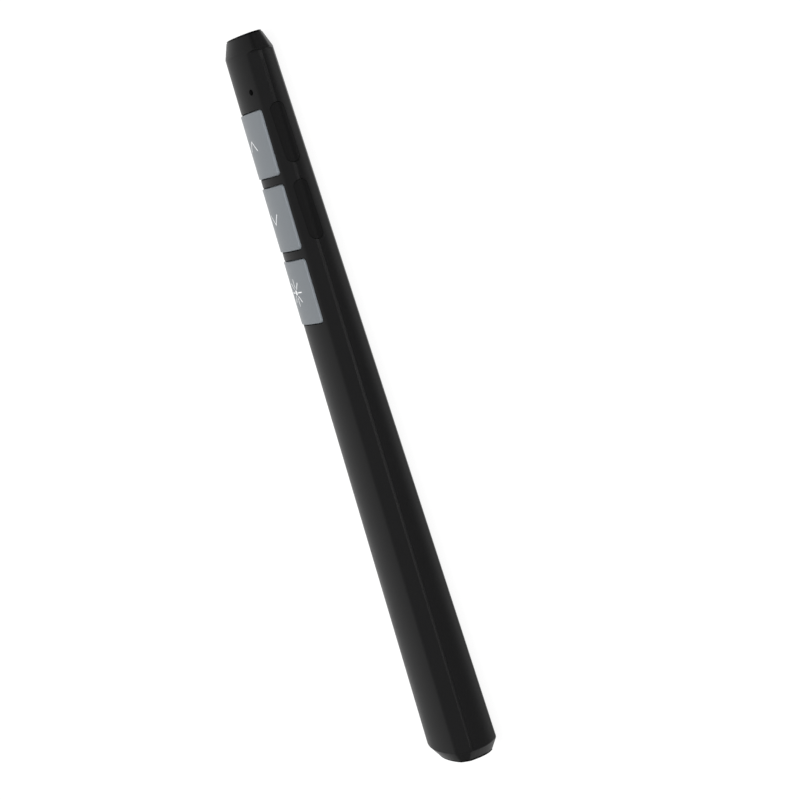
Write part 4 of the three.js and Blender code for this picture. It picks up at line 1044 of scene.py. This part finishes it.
def camera():
    data = bpy.data.cameras.new("camera")
    data.lens, data.sensor_width = LENS, SENSOR_WIDTH
    data.clip_start, data.clip_end = CLIP_START, CLIP_END
    obj = link("camera", data)
    right = CAMERA_FORWARD.cross(CAMERA_UP).normalized()
    up = right.cross(CAMERA_FORWARD).normalized()
    turn = Matrix((right, up, -CAMERA_FORWARD.normalized())).transposed()
    obj.matrix_world = Matrix.Translation(CAMERA_PLACE) @ turn.to_4x4()
    bpy.context.scene.camera = obj


FLOOR_FLAT = 1500
FLOOR_RISE = 400
FLOOR_REACH = 2600
FLOOR_RINGS = 13
FLOOR_SEGMENTS = 96
FLOOR_DROP = 0.02
FLOOR_GLOW = 0.94
FLOOR_SHADE = 0.13
FLOOR_BOUNCE = 0.8


def floor():
    """Pale floor that turns up gently far away"""
    profile = [(0.0, 0.0), (FLOOR_FLAT, 0.0)]
    for t in np.linspace(0, 1, FLOOR_RINGS)[1:]:
        profile.append((mix(FLOOR_FLAT, FLOOR_REACH, t), FLOOR_RISE * t**2))
    points = [(0, 0, 0)]
    faces = []
    for r, (radius, height) in enumerate(profile[1:]):
        for i in range(FLOOR_SEGMENTS):
            angle = 2 * math.pi * i / FLOOR_SEGMENTS
            points.append((radius * math.cos(angle), radius * math.sin(angle), height))
            j = (i + 1) % FLOOR_SEGMENTS
            if r == 0:
                faces.append((0, 1 + i, 1 + j))
            else:
                a = 1 + (r - 1) * FLOOR_SEGMENTS
                b = 1 + r * FLOOR_SEGMENTS
                faces.append((a + i, b + i, b + j, a + j))
    mesh = bpy.data.meshes.new("floor")
    mesh.from_pydata([(x * MM, y * MM, (z - FLOOR_DROP) * MM) for x, y, z in points], [], faces)
    mesh.shade_smooth()
    obj = link("floor", mesh)
    mesh.materials.append(white_floor())


def white_floor():
    """White with a faint shadow where it is seen or mirrored, plain matte where it only throws light back"""
    material = bpy.data.materials.new("white floor")
    material.use_nodes = True
    tree = material.node_tree
    tree.nodes.clear()
    out = tree.nodes.new("ShaderNodeOutputMaterial")
    matte = shader_node(tree, "ShaderNodeBsdfDiffuse", Color=(FLOOR_BOUNCE, FLOOR_BOUNCE, FLOOR_BOUNCE, 1))
    paper = shader_node(tree, "ShaderNodeBsdfDiffuse", Color=(FLOOR_SHADE, FLOOR_SHADE, FLOOR_SHADE, 1))
    glow = shader_node(tree, "ShaderNodeEmission", Strength=FLOOR_GLOW)
    lit = tree.nodes.new("ShaderNodeAddShader")
    pick = tree.nodes.new("ShaderNodeMixShader")
    ray = tree.nodes.new("ShaderNodeLightPath")
    direct = calculate(tree, "MAXIMUM", ray.outputs["Is Camera Ray"], ray.outputs["Is Glossy Ray"])
    seen = calculate(tree, "MAXIMUM", direct, ray.outputs["Is Transmission Ray"])
    wire = tree.links.new
    wire(paper.outputs[0], lit.inputs[0])
    wire(glow.outputs[0], lit.inputs[1])
    wire(seen, pick.inputs["Fac"])
    wire(matte.outputs[0], pick.inputs[1])
    wire(lit.outputs[0], pick.inputs[2])
    wire(pick.outputs[0], out.inputs["Surface"])
    return material


# Soft panels of the studio sky: the direction of the middle, the strength, and how narrow each is
SKY = [
    ((0, 0, 1), 1.44, 2),
    ((-0.7, 0, 0.7), 0.53, 4),
    ((-0.93, -0.13, 0.3), 0.47, 60),
    ((-0.93, 0.2, 0.31), 0.73, 60),
    ((0.865, -0.13, 0.445), 11.3, 70),
]


def light():
    world = bpy.data.worlds.new("studio")
    world.use_nodes = True
    tree = world.node_tree
    place = tree.nodes.new("ShaderNodeTexCoord")
    total = 0.0
    for towards, strength, narrowness in SKY:
        angle = tree.nodes.new("ShaderNodeVectorMath")
        angle.operation = "DOT_PRODUCT"
        angle.inputs[1].default_value = Vector(towards).normalized()
        tree.links.new(place.outputs["Generated"], angle.inputs[0])
        facing = calculate(tree, "MAXIMUM", angle.outputs["Value"], 0.0)
        panel = calculate(tree, "POWER", facing, narrowness)
        total = calculate(tree, "ADD", calculate(tree, "MULTIPLY", panel, strength), total)
    tree.links.new(total, tree.nodes["Background"].inputs["Color"])
    bpy.context.scene.world = world


camera()
floor()
light()
bpy.context.scene.view_settings.view_transform = "Standard"
